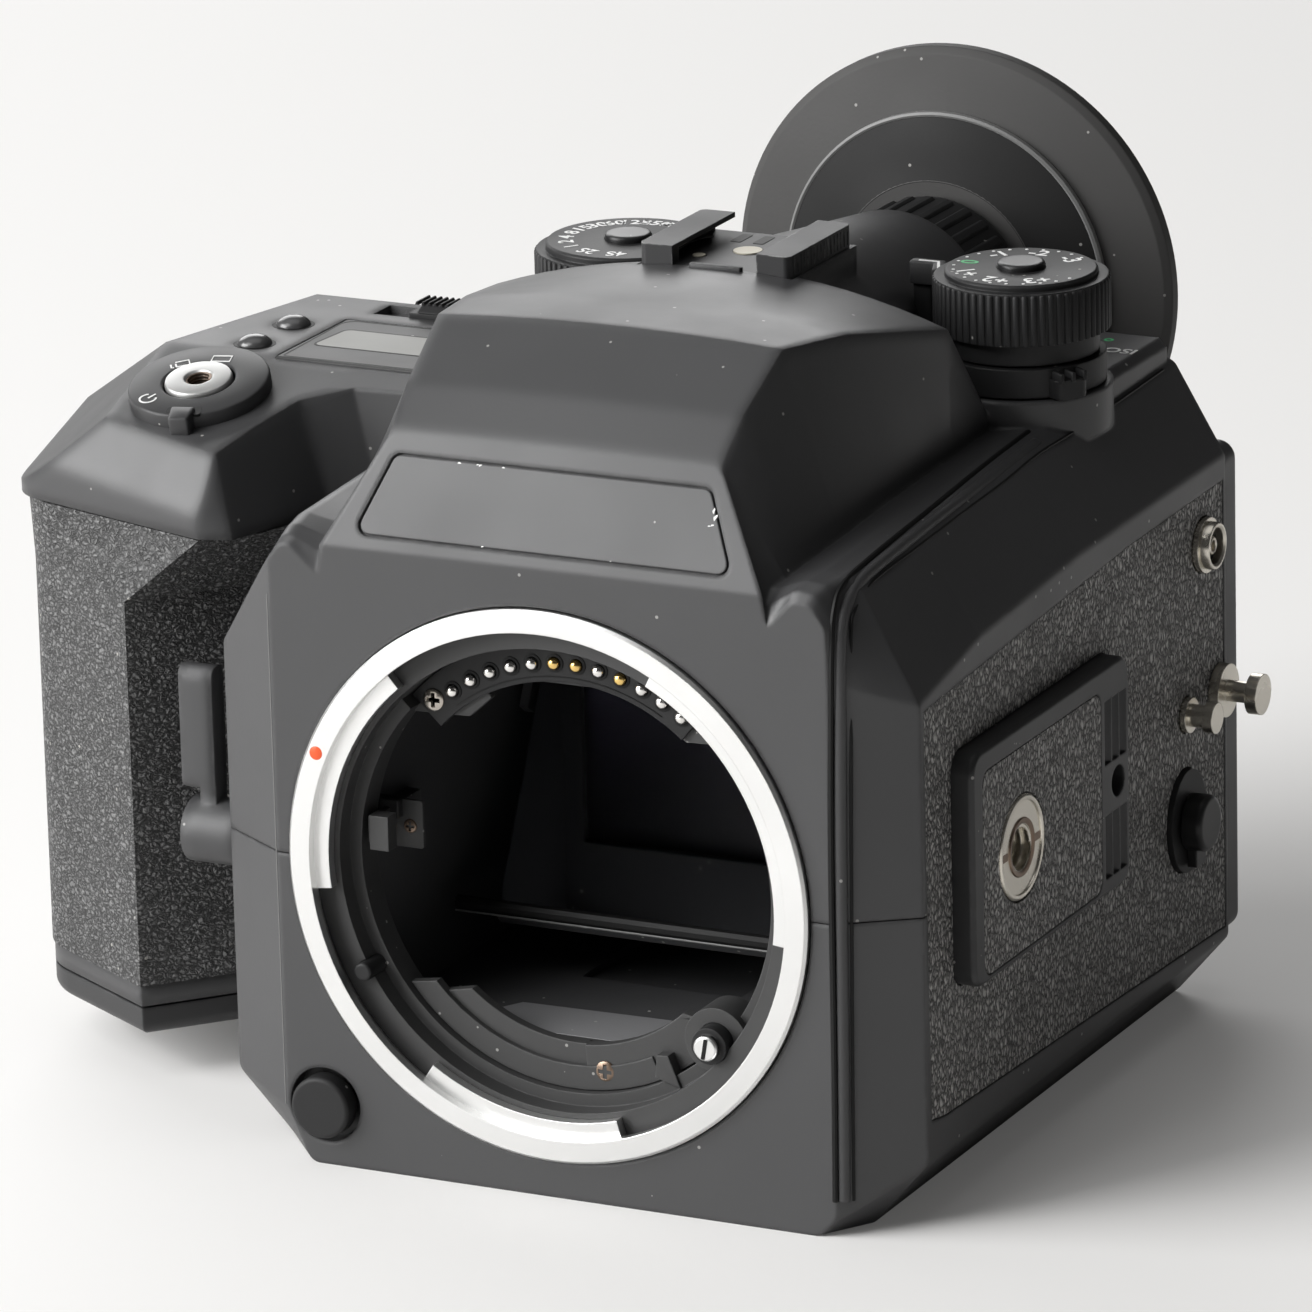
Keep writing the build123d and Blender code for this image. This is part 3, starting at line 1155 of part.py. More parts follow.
with BuildPart() as back_latch:
    rod_y(door_y[0], 114.4, *latch_xz, 2.6)
    block(latch_xz[0] - 1.1, latch_xz[0] + 1.1, 113.0, 115.4, latch_xz[1] - 1.5, latch_xz[1] + 7.5)
    rod_y(cavity_rear_y - 3, door_y[0], *latch_xz, latch_pin_radius)
save(back_latch, "back_latch")

with BuildPart() as film_insert:
    for side in (-1, 1):
        block(side * (insert_half - insert_plate), side * insert_half, *insert_y, -insert_z, insert_z)
    block(-insert_half, insert_half, insert_y[1] - 1.5, insert_y[1] - 0.1, -insert_z, insert_z)
    for z in (-insert_z + 0.8, insert_z - 0.8):
        block(-insert_half, insert_half, insert_y[0] + 4, insert_y[1] - 1, z - 0.8, z + 0.8)
    block(-insert_half, insert_half, 75.0, insert_y[1] - 1, -2.5, 2.5)
    for z in (-spool_z, spool_z):
        rod_x(-50, 50, spool_y, z, spindle_radius + shaft_clearance, Mode.SUBTRACT)
    for x in (-post_x, post_x):
        rod_y(74, 82, x, 0, post_radius + shaft_clearance, Mode.SUBTRACT)
save(film_insert, "film_insert")

with BuildPart() as pressure_plate:
    block(-31.0, 31.0, 71.2, 72.4, -24.0, 24.0)
    for x in (-post_x, post_x):
        rod_y(72.4, 80, x, 0, post_radius)
    for z in (-12.0, 12.0):
        block(-27, 27, 72.0, 73.0, z - 0.8, z + 0.8)
save(pressure_plate, "pressure_plate")


def spool(z, right_end):
    rod_x(-spool_half, spool_half, spool_y, z, core_radius)
    for x in (-spool_half, spool_half - flange_thickness):
        rod_x(x, x + flange_thickness, spool_y, z, flange_radius)
    rod_x(-insert_half + 0.3, right_end, spool_y, z, spindle_radius)
    block(-24, 24, spool_y - core_radius - 1, spool_y + core_radius + 1, z - 0.9, z + 0.9, Mode.SUBTRACT)


with BuildPart() as feed_spool:
    spool(-spool_z, insert_half - 0.3)
save(feed_spool, "feed_spool")

with BuildPart() as takeup_spool:
    spool(spool_z, gear_x[1] - 0.2)
save(takeup_spool, "takeup_spool")


def gear_outline(teeth, centre, turn):
    """Spur gear outline with straight sided teeth, in the plane of local x = Y and y = Z."""
    pitch_radius = gear_module * teeth / 2
    half_pitch = pi / teeth
    points = []
    for tooth in range(teeth):
        middle = turn + 2 * half_pitch * tooth
        for radius, share in ((pitch_radius - 1.15 * gear_module, -0.74), (pitch_radius + gear_module, -0.24),
                              (pitch_radius + gear_module, 0.24), (pitch_radius - 1.15 * gear_module, 0.74)):
            angle = middle + share * half_pitch
            points.append((centre[0] + radius * cos(angle), centre[1] + radius * sin(angle)))
    polygon_face(points)


with BuildPart() as wind_gear:
    with BuildSketch(Plane.YZ.offset(gear_x[0])):
        gear_outline(gear_teeth, (spool_y, spool_z), pi / gear_teeth)
        with Locations((spool_y, spool_z)):
            Circle(spindle_radius + 0.01, mode=Mode.SUBTRACT)
            with PolarLocations(7.6, 6):
                Circle(2.0, mode=Mode.SUBTRACT)
    extrude(amount=gear_x[1] - gear_x[0])
save(wind_gear, "wind_gear")

pinion_pin_radius = 1.5
with BuildPart() as wind_pinion:
    with BuildSketch(Plane.YZ.offset(gear_x[0])):
        gear_outline(pinion_teeth, pinion_yz, 0.0)
        with Locations(pinion_yz):
            Circle(pinion_pin_radius + shaft_clearance, mode=Mode.SUBTRACT)
    extrude(amount=gear_x[1] - gear_x[0])
save(wind_pinion, "wind_pinion")

motor_yz = (57.3, 16.5)
motor_radius = 7.0
gearbox_x = (gear_x[1] + fit_gap, side_x - 2.9)
with BuildPart() as wind_motor:
    rod_x(box_wall_x[1] + 1.2, gearbox_x[0] + 0.2, *motor_yz, motor_radius)
    with BuildSketch(Plane.YZ.offset(gearbox_x[0])):
        with BuildLine():
            Polyline((50.0, 9.0), (80.0, 11.0), (80.0, 22.0), (50.0, 24.0), close=True)
        make_face()
        fillet(vertices(), 3.0)
    extrude(amount=gearbox_x[1] - gearbox_x[0])
    rod_x(gear_x[0] + 0.2, gearbox_x[0], *pinion_yz, pinion_pin_radius)
save(wind_motor, "wind_motor")

with BuildPart() as circuit_board:
    block(board_room[0] + 3, board_room[1] - 0.3, board_room[2] + 0.3, board_room[3] - 0.3, 47.0, 48.4)
    block(-62, -42, 52, 68, 48.4, 50.6)
save(circuit_board, "circuit_board")

total_width = plate_face_x - grip_left
total_height = shoe_top_z - base_z
total_depth = door_y[1]
print(f"body {total_width:.1f} x {total_height:.1f} x {total_depth:.1f} mm without studs and eyecup")
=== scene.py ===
# %% [markdown]
# This lesson dresses a medium format film camera. The shapes of its mouldings, dials, buttons,
# mirror box and shutter already exist as solids. Here they get finishes, small fasteners, marks,
# knurls and lettering, and then a camera, a pale floor and soft light.

import math

import bmesh
import bpy
from mathutils import Matrix, Vector


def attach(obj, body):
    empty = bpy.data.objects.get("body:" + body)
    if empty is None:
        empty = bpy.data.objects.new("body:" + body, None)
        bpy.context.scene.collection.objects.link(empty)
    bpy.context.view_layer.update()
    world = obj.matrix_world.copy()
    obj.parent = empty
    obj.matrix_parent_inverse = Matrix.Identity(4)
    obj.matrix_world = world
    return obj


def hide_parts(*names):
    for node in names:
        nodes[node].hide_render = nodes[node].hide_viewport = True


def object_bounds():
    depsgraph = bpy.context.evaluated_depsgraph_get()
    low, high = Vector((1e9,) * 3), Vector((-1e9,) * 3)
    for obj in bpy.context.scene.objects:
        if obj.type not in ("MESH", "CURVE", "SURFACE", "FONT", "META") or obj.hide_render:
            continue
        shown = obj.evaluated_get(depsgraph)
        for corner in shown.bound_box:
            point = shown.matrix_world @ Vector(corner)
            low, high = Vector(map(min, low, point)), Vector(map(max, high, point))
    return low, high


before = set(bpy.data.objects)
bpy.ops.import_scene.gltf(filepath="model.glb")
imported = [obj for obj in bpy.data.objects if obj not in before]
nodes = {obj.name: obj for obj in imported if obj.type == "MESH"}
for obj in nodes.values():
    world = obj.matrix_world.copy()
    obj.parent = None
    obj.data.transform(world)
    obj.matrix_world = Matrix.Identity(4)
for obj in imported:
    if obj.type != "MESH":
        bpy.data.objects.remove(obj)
solid_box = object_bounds()

# %% [markdown]
# A photographer's lens with a long reach draws a small object with little perspective. The view
# is told as a direction (azimuth and elevation), a distance, a small tilt of the frame, and the
# point the frame is centred on. From these three directions the camera's own axes follow, which
# is easier to reason about than turning angles by hand.

# %% The viewing camera
MM = 0.001
view_azimuth = math.radians(26.534)
view_elevation = math.radians(16.988)
view_roll = math.radians(-1.447)
view_distance = 1256.32 * MM
aim_right = 15.59 * MM
aim_up = 30.5 * MM
focal_pixels = 9500.0
image_pixels = 1312.0
sensor_width = 36.0
nearest, farthest = 0.05, 20.0


def put_in_scene(name, data):
    thing = bpy.data.objects.new(name, data)
    bpy.context.scene.collection.objects.link(thing)
    return thing


toward_camera = Vector((math.sin(view_azimuth) * math.cos(view_elevation),
                        -math.cos(view_azimuth) * math.cos(view_elevation),
                        math.sin(view_elevation)))
to_the_right = Vector((math.cos(view_azimuth), math.sin(view_azimuth), 0.0))
upwards = toward_camera.cross(to_the_right)
camera_place = toward_camera * view_distance + to_the_right * aim_right + upwards * aim_up
rolled_right = math.cos(view_roll) * to_the_right + math.sin(view_roll) * upwards
rolled_up = math.cos(view_roll) * upwards - math.sin(view_roll) * to_the_right

viewer = put_in_scene("viewer", bpy.data.cameras.new("viewer"))
viewer.matrix_world = Matrix.Translation(camera_place) @ Matrix(
    (rolled_right, rolled_up, toward_camera)).transposed().to_4x4()
viewer.data.sensor_width = sensor_width
viewer.data.lens = focal_pixels / image_pixels * sensor_width
viewer.data.clip_start = nearest
viewer.data.clip_end = farthest
bpy.context.scene.camera = viewer
print("camera at", [round(v, 3) for v in camera_place], "lens", round(viewer.data.lens, 1), "mm")

# %% [markdown]
# The camera stands on a white sheet. One wide lamp at the front left does most of the work, as a
# window would. A weaker one above it softens the shadows, one behind draws the rear edges and a
# faint one hangs overhead. Nothing lights the right side, so black plastic stays black there,
# which tells its shape. Each lamp is hidden from the viewing camera.

# %% Lamps


def area_lamp(name, place, width, height, power):
    """A rectangular soft lamp at place that shines towards the origin."""
    lamp = bpy.data.lights.new(name, "AREA")
    lamp.shape = "RECTANGLE"
    lamp.size = width
    lamp.size_y = height
    lamp.energy = power
    holder = put_in_scene(name, lamp)
    holder.location = place
    holder.rotation_euler = (-Vector(place)).to_track_quat("-Z", "Y").to_euler()
    holder.visible_camera = False
    print(name, "of", power, "watts")


area_lamp("window_lamp", (-1.38, -1.14, 0.74), 1.5, 1.25, 58.0)
area_lamp("back_lamp", (-1.2, 1.42, 0.85), 1.6, 1.0, 15.0)
area_lamp("upper_lamp", (-0.65, -0.95, 1.35), 1.1, 0.9, 11.0)
area_lamp("overhead_lamp", (-0.1, 0.15, 1.5), 1.2, 1.2, 3.0)

# %% [markdown]
# A surface's look is told by nodes and the wires between them. Two helpers keep that short: one
# adds a node with its settings and plain values, the other joins outputs to inputs. The room round
# the camera is nearly dark for the object and light grey for the viewing camera. The sheet glows a
# little, for the viewing camera only, so that it comes out white.

# %% Floor and surroundings
floor_height = solid_box[0][2]
floor_reach = 6.0
paper_glow = 0.07
room_light, seen_light = 0.06, 1.0


def set_inputs(node, values):
    for label, value in values.items():
        node.inputs[label].default_value = value


def add_node(tree, kind, values=None, **settings):
    """Adds a node. values are plain inputs by name or number, settings the node's own choices."""
    node = tree.nodes.new(tree.bl_idname.removesuffix("Tree") + kind)
    for setting, choice in settings.items():
        setattr(node, setting, choice)
    set_inputs(node, values or {})
    return node


def wire(tree, *wires):
    """Joins nodes. Each wire is (node, output, node, input)."""
    for source, output, target, entry in wires:
        tree.links.new(source.outputs[output], target.inputs[entry])


def new_material(name, values):
    material = bpy.data.materials.new(name)
    material.use_nodes = True
    shader = material.node_tree.nodes["Principled BSDF"]
    set_inputs(shader, values)
    return material, material.node_tree, shader


world = bpy.data.worlds.new("studio")
bpy.context.scene.world = world
world.use_nodes = True
background = world.node_tree.nodes["Background"]
set_inputs(background, {"Color": (0.84, 0.83, 0.82, 1.0)})
light_path = add_node(world.node_tree, "LightPath")
seen = add_node(world.node_tree, "Math", operation="MAXIMUM")
strength = add_node(world.node_tree, "MapRange", {"To Min": room_light, "To Max": seen_light})
wire(world.node_tree, (light_path, "Is Camera Ray", seen, 0), (light_path, "Is Transmission Ray", seen, 1),
     (seen, 0, strength, "Value"), (strength, "Result", background, "Strength"))

sheet_mesh = bpy.data.meshes.new("white_sheet")
sheet_mesh.from_pydata([(x * floor_reach, y * floor_reach, floor_height)
                        for x, y in ((-1, -1), (1, -1), (1, 1), (-1, 1))], [], [(0, 1, 2, 3)])
sheet = put_in_scene("white_sheet", sheet_mesh)
white_paper, tree, paper = new_material("white_paper", {
    "Base Color": (0.81, 0.802, 0.79, 1.0), "Roughness": 0.8, "Emission Color": (1.0, 0.99, 0.975, 1.0)})
glow = add_node(tree, "LightPath")
lift = add_node(tree, "Math", {1: paper_glow}, operation="MULTIPLY")
wire(tree, (glow, "Is Camera Ray", lift, 0), (lift, 0, paper, "Emission Strength"))
sheet_mesh.materials.append(white_paper)
bpy.context.scene.view_settings.view_transform = "Standard"
print("floor at", round(floor_height, 4), "m")

# %% [markdown]
# Every finish below is made from the same few effects: the fine texture that a mould leaves, the
# paler rubbed edges of a used camera, and dust. Each effect is a node group, built once. A group
# only gives numbers that change over the surface, and each material decides what to do with them.

# %% A helper that starts a shader group


def shader_group(name, inputs, outputs):
    """Makes a shader node group. inputs are numbers by name, outputs are names."""
    group = bpy.data.node_groups.new(name, "ShaderNodeTree")
    for label, value in inputs.items():
        socket = group.interface.new_socket(label, in_out="INPUT", socket_type="NodeSocketFloat")
        socket.default_value = value
    for label in outputs:
        group.interface.new_socket(label, in_out="OUTPUT", socket_type="NodeSocketFloat")
    return group, group.nodes.new("NodeGroupInput"), group.nodes.new("NodeGroupOutput")


# %% Mould texture: fine noise for the bump, slow noise for the sheen
mould_texture, enter, leave = shader_group("mould_texture", {"Scale": 2200.0, "Patch Scale": 45.0},
                                           ["Height", "Patches"])
where = add_node(mould_texture, "TexCoord")
fine = add_node(mould_texture, "TexNoise", {"Detail": 3.0})
slow = add_node(mould_texture, "TexNoise", {"Detail": 5.0})
wire(mould_texture, (where, "Object", fine, "Vector"), (where, "Object", slow, "Vector"),
     (enter, "Scale", fine, "Scale"), (enter, "Patch Scale", slow, "Scale"),
     (fine, "Fac", leave, "Height"), (slow, "Fac", leave, "Patches"))
print("group", mould_texture.name, "with", len(mould_texture.nodes), "nodes")

# %% Edge wear: where a softened normal leaves the true one, the surface bends sharply
bevel_samples = 4
edge_wear, enter, leave = shader_group("edge_wear", {"Width": 0.0005, "Breakup": 350.0}, ["Mask"])
soft = add_node(edge_wear, "Bevel", samples=bevel_samples)
facing = add_node(edge_wear, "NewGeometry")
likeness = add_node(edge_wear, "VectorMath", operation="DOT_PRODUCT")
bend = add_node(edge_wear, "MapRange", {"From Min": 0.985, "From Max": 0.86})
where = add_node(edge_wear, "TexCoord")
chips = add_node(edge_wear, "TexNoise", {"Detail": 4.0})
rarely = add_node(edge_wear, "MapRange", {"From Min": 0.48, "From Max": 0.66})
both = add_node(edge_wear, "Math", operation="MULTIPLY")
wire(edge_wear, (enter, "Width", soft, "Radius"), (soft, "Normal", likeness, 0),
     (facing, "Normal", likeness, 1), (likeness, "Value", bend, "Value"),
     (where, "Object", chips, "Vector"), (enter, "Breakup", chips, "Scale"),
     (chips, "Fac", rarely, "Value"), (bend, "Result", both, 0), (rarely, "Result", both, 1),
     (both, 0, leave, "Mask"))
print("group", edge_wear.name, "with", len(edge_wear.nodes), "nodes")

# %% Dust: sparse round specks
speck_radius = 0.16
dust, enter, leave = shader_group("dust", {"Density": 0.1, "Speck Scale": 700.0}, ["Mask"])
where = add_node(dust, "TexCoord")
specks = add_node(dust, "TexVoronoi")
near = add_node(dust, "Math", {1: speck_radius}, operation="LESS_THAN")
pick = add_node(dust, "SeparateColor")
some = add_node(dust, "Math", operation="LESS_THAN")
together = add_node(dust, "Math", operation="MULTIPLY")
wire(dust, (where, "Object", specks, "Vector"), (enter, "Speck Scale", specks, "Scale"),
     (specks, "Distance", near, 0), (specks, "Color", pick, "Color"), (pick, "Red", some, 0),
     (enter, "Density", some, 1), (near, 0, together, 0), (some, 0, together, 1),
     (together, 0, leave, "Mask"))
print("group", dust.name, "with", len(dust.nodes), "nodes")

# %% [markdown]
# The mouldings are not equally sharp everywhere. The grip's housing and the prism hump have full,
# soft corners, and the panels round the mount crisp ones. This group tells how far the light
# should see each corner rounded, from the place of the point on the camera.

# %% How wide the corners are rounded, by place
grip_begins = {"From Min": -0.050, "From Max": -0.053}
hump_begins = {"From Min": 0.0575, "From Max": 0.060}
crease_width, enter, leave = shader_group("crease_width", {"Crisp": 0.0009, "Soft": 0.003}, ["Radius"])
where = add_node(crease_width, "TexCoord")
axes = add_node(crease_width, "SeparateXYZ")
on_grip = add_node(crease_width, "MapRange", grip_begins)
on_hump = add_node(crease_width, "MapRange", hump_begins)
either = add_node(crease_width, "Math", operation="MAXIMUM")
chosen = add_node(crease_width, "MapRange")
wire(crease_width, (where, "Object", axes, 0), (axes, "X", on_grip, "Value"), (axes, "Z", on_hump, "Value"),
     (on_grip, "Result", either, 0), (on_hump, "Result", either, 1), (either, 0, chosen, "Value"),
     (enter, "Crisp", chosen, "To Min"), (enter, "Soft", chosen, "To Max"),
     (chosen, "Result", leave, "Radius"))
print("group", crease_width.name, "with", len(crease_width.nodes), "nodes")

# %% [markdown]
# One recipe then serves all hard surfaces. It sets the plain colour and sheen, adds mould texture
# as a bump, lets slow patches vary the sheen like handling does, lightens rubbed edges and drops
# a little dust. A softened normal rounds the sharp edges of the solids for the light.

# %% The recipe for hard finishes
narrowest_wear = 0.0003
dust_colour = (0.45, 0.44, 0.42, 1.0)
dust_cover = 0.6
patch_low, patch_high = 0.3, 0.7


def hard_finish(name, colour, roughness, metallic=0.0, texture=2200.0, depth=0.00001, edge=0.0004,
                wear=0.35, wear_colour=(0.16, 0.16, 0.16), dust_amount=0.03, sheen_change=0.12, coat=0.0,
                specular=0.5, soft_creases=False):
    material, tree, shader = new_material(
        name, {"Metallic": metallic, "Coat Weight": coat, "Specular IOR Level": specular})
    mould = add_node(tree, "Group", node_tree=mould_texture)
    worn = add_node(tree, "Group", node_tree=edge_wear)
    dusty = add_node(tree, "Group", node_tree=dust)
    set_inputs(mould, {"Scale": texture})
    set_inputs(worn, {"Width": max(edge, narrowest_wear)})
    set_inputs(dusty, {"Density": dust_amount})

    rubbed = add_node(tree, "Mix", {"A": (*colour, 1.0), "B": (*wear_colour, 1.0)}, data_type="RGBA")
    amount = add_node(tree, "Math", {1: wear}, operation="MULTIPLY")
    dusted = add_node(tree, "Mix", {"B": dust_colour}, data_type="RGBA")
    settle = add_node(tree, "Math", {1: dust_cover}, operation="MULTIPLY")
    wire(tree, (worn, "Mask", amount, 0), (amount, 0, rubbed, "Factor"), (dusty, "Mask", settle, 0),
         (settle, 0, dusted, "Factor"), (rubbed, "Result", dusted, "A"),
         (dusted, "Result", shader, "Base Color"))

    sheen = add_node(tree, "MapRange", {"From Min": patch_low, "From Max": patch_high,
                                        "To Min": roughness - sheen_change / 2,
                                        "To Max": roughness + sheen_change / 2})
    bump = add_node(tree, "Bump", {"Distance": depth})
    wire(tree, (mould, "Patches", sheen, "Value"), (sheen, "Result", shader, "Roughness"),
         (mould, "Height", bump, "Height"), (bump, "Normal", shader, "Normal"))
    if edge > 0.0:
        softened = add_node(tree, "Bevel", {"Radius": edge}, samples=bevel_samples)
        wire(tree, (softened, "Normal", bump, "Normal"))
        if soft_creases:
            body_shape = add_node(tree, "Group", node_tree=crease_width)
            wire(tree, (body_shape, "Radius", softened, "Radius"))
    return material


print("the recipe for hard finishes is ready")

# %% [markdown]
# The side and the grip wear imitation leather: a sheet of vinyl pressed with a grain. The grain is
# made of small raised islands with folds between them. Cells with wandering borders give the
# islands; stretching the cells one way gives the direction that the grain runs in.

# %% Leather grain: islands between wandering folds
leather_grain, enter, leave = shader_group(
    "leather_grain", {"Stretch X": 900.0, "Stretch Y": 900.0, "Stretch Z": 600.0, "Wander": 0.6},
    ["Height", "Fold"])
where = add_node(leather_grain, "TexCoord")
stretch = add_node(leather_grain, "CombineXYZ")
scaled = add_node(leather_grain, "VectorMath", operation="MULTIPLY")
drift = add_node(leather_grain, "TexNoise", {"Scale": 0.9, "Detail": 3.0})
drifted = add_node(leather_grain, "VectorMath", operation="MULTIPLY_ADD")
spread = add_node(leather_grain, "CombineXYZ")
islands = add_node(leather_grain, "TexVoronoi", {"Scale": 1.0, "Smoothness": 0.25}, feature="SMOOTH_F1")
borders = add_node(leather_grain, "TexVoronoi", {"Scale": 1.0}, feature="DISTANCE_TO_EDGE")
fold = add_node(leather_grain, "MapRange", {"From Max": 0.34})
swell = add_node(leather_grain, "MapRange", {"From Min": 0.75, "From Max": 0.05})
height = add_node(leather_grain, "Math", operation="MULTIPLY")
for axis in "XYZ":
    wire(leather_grain, (enter, "Stretch " + axis, stretch, axis), (enter, "Wander", spread, axis))
wire(leather_grain, (where, "Object", scaled, 0), (stretch, 0, scaled, 1), (scaled, 0, drift, "Vector"),
     (drift, "Color", drifted, 0), (spread, 0, drifted, 1), (scaled, 0, drifted, 2),
     (drifted, 0, islands, "Vector"), (drifted, 0, borders, "Vector"),
     (borders, "Distance", fold, "Value"), (islands, "Distance", swell, "Value"),
     (fold, "Result", height, 0), (swell, "Result", height, 1),
     (height, 0, leave, "Height"), (fold, "Result", leave, "Fold"))
print("group", leather_grain.name, "with", len(leather_grain.nodes), "nodes")

# %% The recipe for leather
leather_roughness = 0.4
fold_dullness = 0.25
# The folds are painted nearly black: painted shade in the creases of the grain.
fold_shade_colour = (0.002, 0.002, 0.002, 1.0)
leather_dust_colour = (0.35, 0.34, 0.32, 1.0)
leather_dust = 0.05
pore_scale, pore_depth = 4500.0, 0.00003


def leather_finish(name, colour, stretch, wander, depth):
    """Grained vinyl: duller in the folds, shinier on the rubbed islands; folds painted dark as shade,
    islands painted pale as highlight.
    """
    material, tree, shader = new_material(name, {})
    grain = add_node(tree, "Group", node_tree=leather_grain)
    mould = add_node(tree, "Group", node_tree=mould_texture)
    dusty = add_node(tree, "Group", node_tree=dust)
    set_inputs(grain, {"Stretch " + axis: value for axis, value in zip("XYZ", stretch)})
    set_inputs(grain, {"Wander": wander})
    set_inputs(mould, {"Scale": pore_scale})
    set_inputs(dusty, {"Density": leather_dust})
    # This mix paints shade into the folds and highlight onto the islands.
    tint = add_node(tree, "Mix", {"A": fold_shade_colour, "B": (*colour, 1.0)}, data_type="RGBA")
    dusted = add_node(tree, "Mix", {"B": leather_dust_colour}, data_type="RGBA")
    sheen = add_node(tree, "MapRange", {"To Min": leather_roughness + fold_dullness,
                                        "To Max": leather_roughness})
    fine = add_node(tree, "Bump", {"Distance": pore_depth})
    coarse = add_node(tree, "Bump", {"Distance": depth})
    wire(tree, (grain, "Fold", tint, "Factor"), (dusty, "Mask", dusted, "Factor"),
         (tint, "Result", dusted, "A"), (dusted, "Result", shader, "Base Color"),
         (grain, "Fold", sheen, "Value"), (sheen, "Result", shader, "Roughness"),
         (mould, "Height", fine, "Height"), (grain, "Height", coarse, "Height"),
         (fine, "Normal", coarse, "Normal"), (coarse, "Normal", shader, "Normal"))
    return material


# Island colours far paler than black vinyl are painted highlight on the grain.
side_leatherette = leather_finish("side_leatherette", (0.5, 0.49, 0.475), (1250.0, 1250.0, 760.0), 1.5,
                                  0.0005)
grip_leatherette = leather_finish("grip_leatherette", (0.2, 0.2, 0.2), (950.0, 950.0, 1350.0), 2.2, 0.0004)
print("leather ready")

# %% [markdown]
# The camera's covers are one black plastic with a fine satin texture. Parts that are handled a
# lot, such as dials, are a little rougher; the eyecup is soft rubber; the inside is flat black so
# that no light bounces onto the film.

# %% Plastics, rubber and blackened metal
clean = {"wear": 0.0, "dust_amount": 0.0}
satin_black = hard_finish("satin_black_moulding", (0.05, 0.05, 0.0515), 0.4, depth=0.000008, edge=0.0009,
                          soft_creases=True)
foot_black = hard_finish("foot_black_moulding", (0.022, 0.022, 0.023), 0.42, edge=0.0006)
control_black = hard_finish("control_black", (0.016, 0.016, 0.0165), 0.5, edge=0.0003, specular=0.3)
gloss_black = hard_finish("gloss_black", (0.014, 0.014, 0.0145), 0.34, depth=0.000002, edge=0.0005,
                          wear=0.1, specular=0.35)
switch_black = hard_finish("switch_black", (0.035, 0.035, 0.036), 0.38, depth=0.000006, specular=0.4)
plate_black = hard_finish("plate_black", (0.06, 0.06, 0.0615), 0.42, depth=0.000006, edge=0.0003)
# Painted shade: this near black stands for the shade inside the eyecup's dish.
dish_shade_black = hard_finish("dish_shade_black", (0.012, 0.012, 0.012), 0.6, edge=0.0003, wear=0.0, specular=0.2)
# Painted light: this grey stands for light falling through the mount onto the chamber floor.
ramp_lit_grey = hard_finish("ramp_lit_grey", (0.2, 0.2, 0.205), 0.4, depth=0.000006, edge=0.0002, wear=0.0)
# Painted highlight: the pale lines and rings drawn in this grey stand for light caught on edges.
rim_highlight_grey = hard_finish("rim_highlight_grey", (0.16, 0.16, 0.158), 0.4, depth=0.000004, edge=0.0, wear=0.0)
dome_grey = hard_finish("dome_grey", (0.07, 0.07, 0.071), 0.22, depth=0.000002, edge=0.0003, wear=0.0,
                        coat=0.4)
soft_rubber = hard_finish("soft_black_rubber", (0.05, 0.049, 0.048), 0.6, texture=1500.0, depth=0.00002,
                          edge=0.0005, wear=0.1, dust_amount=0.05, specular=0.35)
chamber_black = hard_finish("chamber_black", (0.06, 0.06, 0.062), 0.55, depth=0.00002, edge=0.0002,
                            wear=0.3, wear_colour=(0.1, 0.1, 0.1), dust_amount=0.06, specular=0.2)
mount_black = hard_finish("mount_black", (0.045, 0.045, 0.045), 0.5, depth=0.000012, edge=0.0002, wear=0.5,
                          wear_colour=(0.14, 0.14, 0.14), dust_amount=0.08, specular=0.4)
shoe_black = hard_finish("shoe_black_metal", (0.02, 0.02, 0.021), 0.48, depth=0.000006, edge=0.0002,
                         wear=0.9, wear_colour=(0.4, 0.4, 0.39))
gap_black = hard_finish("gap_black", (0.006, 0.006, 0.006), 0.5, depth=0.000004, edge=0.0, specular=0.25,
                        **clean)
print("dark finishes ready")

# %% Metals
bright_steel = hard_finish("bright_steel", (0.84, 0.84, 0.83), 0.34, metallic=1.0, texture=900.0,
                           depth=0.000003, edge=0.0002, **clean)
button_steel = hard_finish("button_steel", (0.62, 0.62, 0.61), 0.42, metallic=1.0, texture=900.0,
                           depth=0.000003, edge=0.0003, wear=0.0, dust_amount=0.01)
warm_nickel = hard_finish("warm_nickel", (0.74, 0.70, 0.62), 0.26, metallic=1.0, texture=1200.0,
                          depth=0.000004, edge=0.0002, wear=0.0, dust_amount=0.02)
gold_plate = hard_finish("gold_plate", (0.9, 0.62, 0.22), 0.22, metallic=1.0, depth=0.000002, edge=0.0002,
                         **clean)
contact_cream = hard_finish("contact_cream", (0.5, 0.47, 0.39), 0.5, metallic=0.3, depth=0.000004,
                            edge=0.0002, wear=0.0)
silver_plate = hard_finish("silver_plate", (0.88, 0.86, 0.83), 0.2, metallic=1.0, depth=0.000002,
                           edge=0.0002, **clean)
dark_screw = hard_finish("browned_screw", (0.22, 0.16, 0.12), 0.34, metallic=0.9, depth=0.000004,
                         edge=0.00008, wear=0.6, wear_colour=(0.6, 0.5, 0.42), dust_amount=0.0)
worn_screw = hard_finish("worn_screw", (0.5, 0.46, 0.41), 0.3, metallic=1.0, depth=0.000004,
                         edge=0.0001, wear=0.4, wear_colour=(0.8, 0.76, 0.7), dust_amount=0.0)
mirror_silver = hard_finish("mirror_silver", (0.45, 0.46, 0.48), 0.05, metallic=1.0, depth=0.0, edge=0.0,
                            wear=0.0, sheen_change=0.02)
cell_sleeve = hard_finish("cell_sleeve", (0.3, 0.24, 0.14), 0.3, metallic=0.5, depth=0.000004, edge=0.0003,
                          **clean)
print("metals ready")

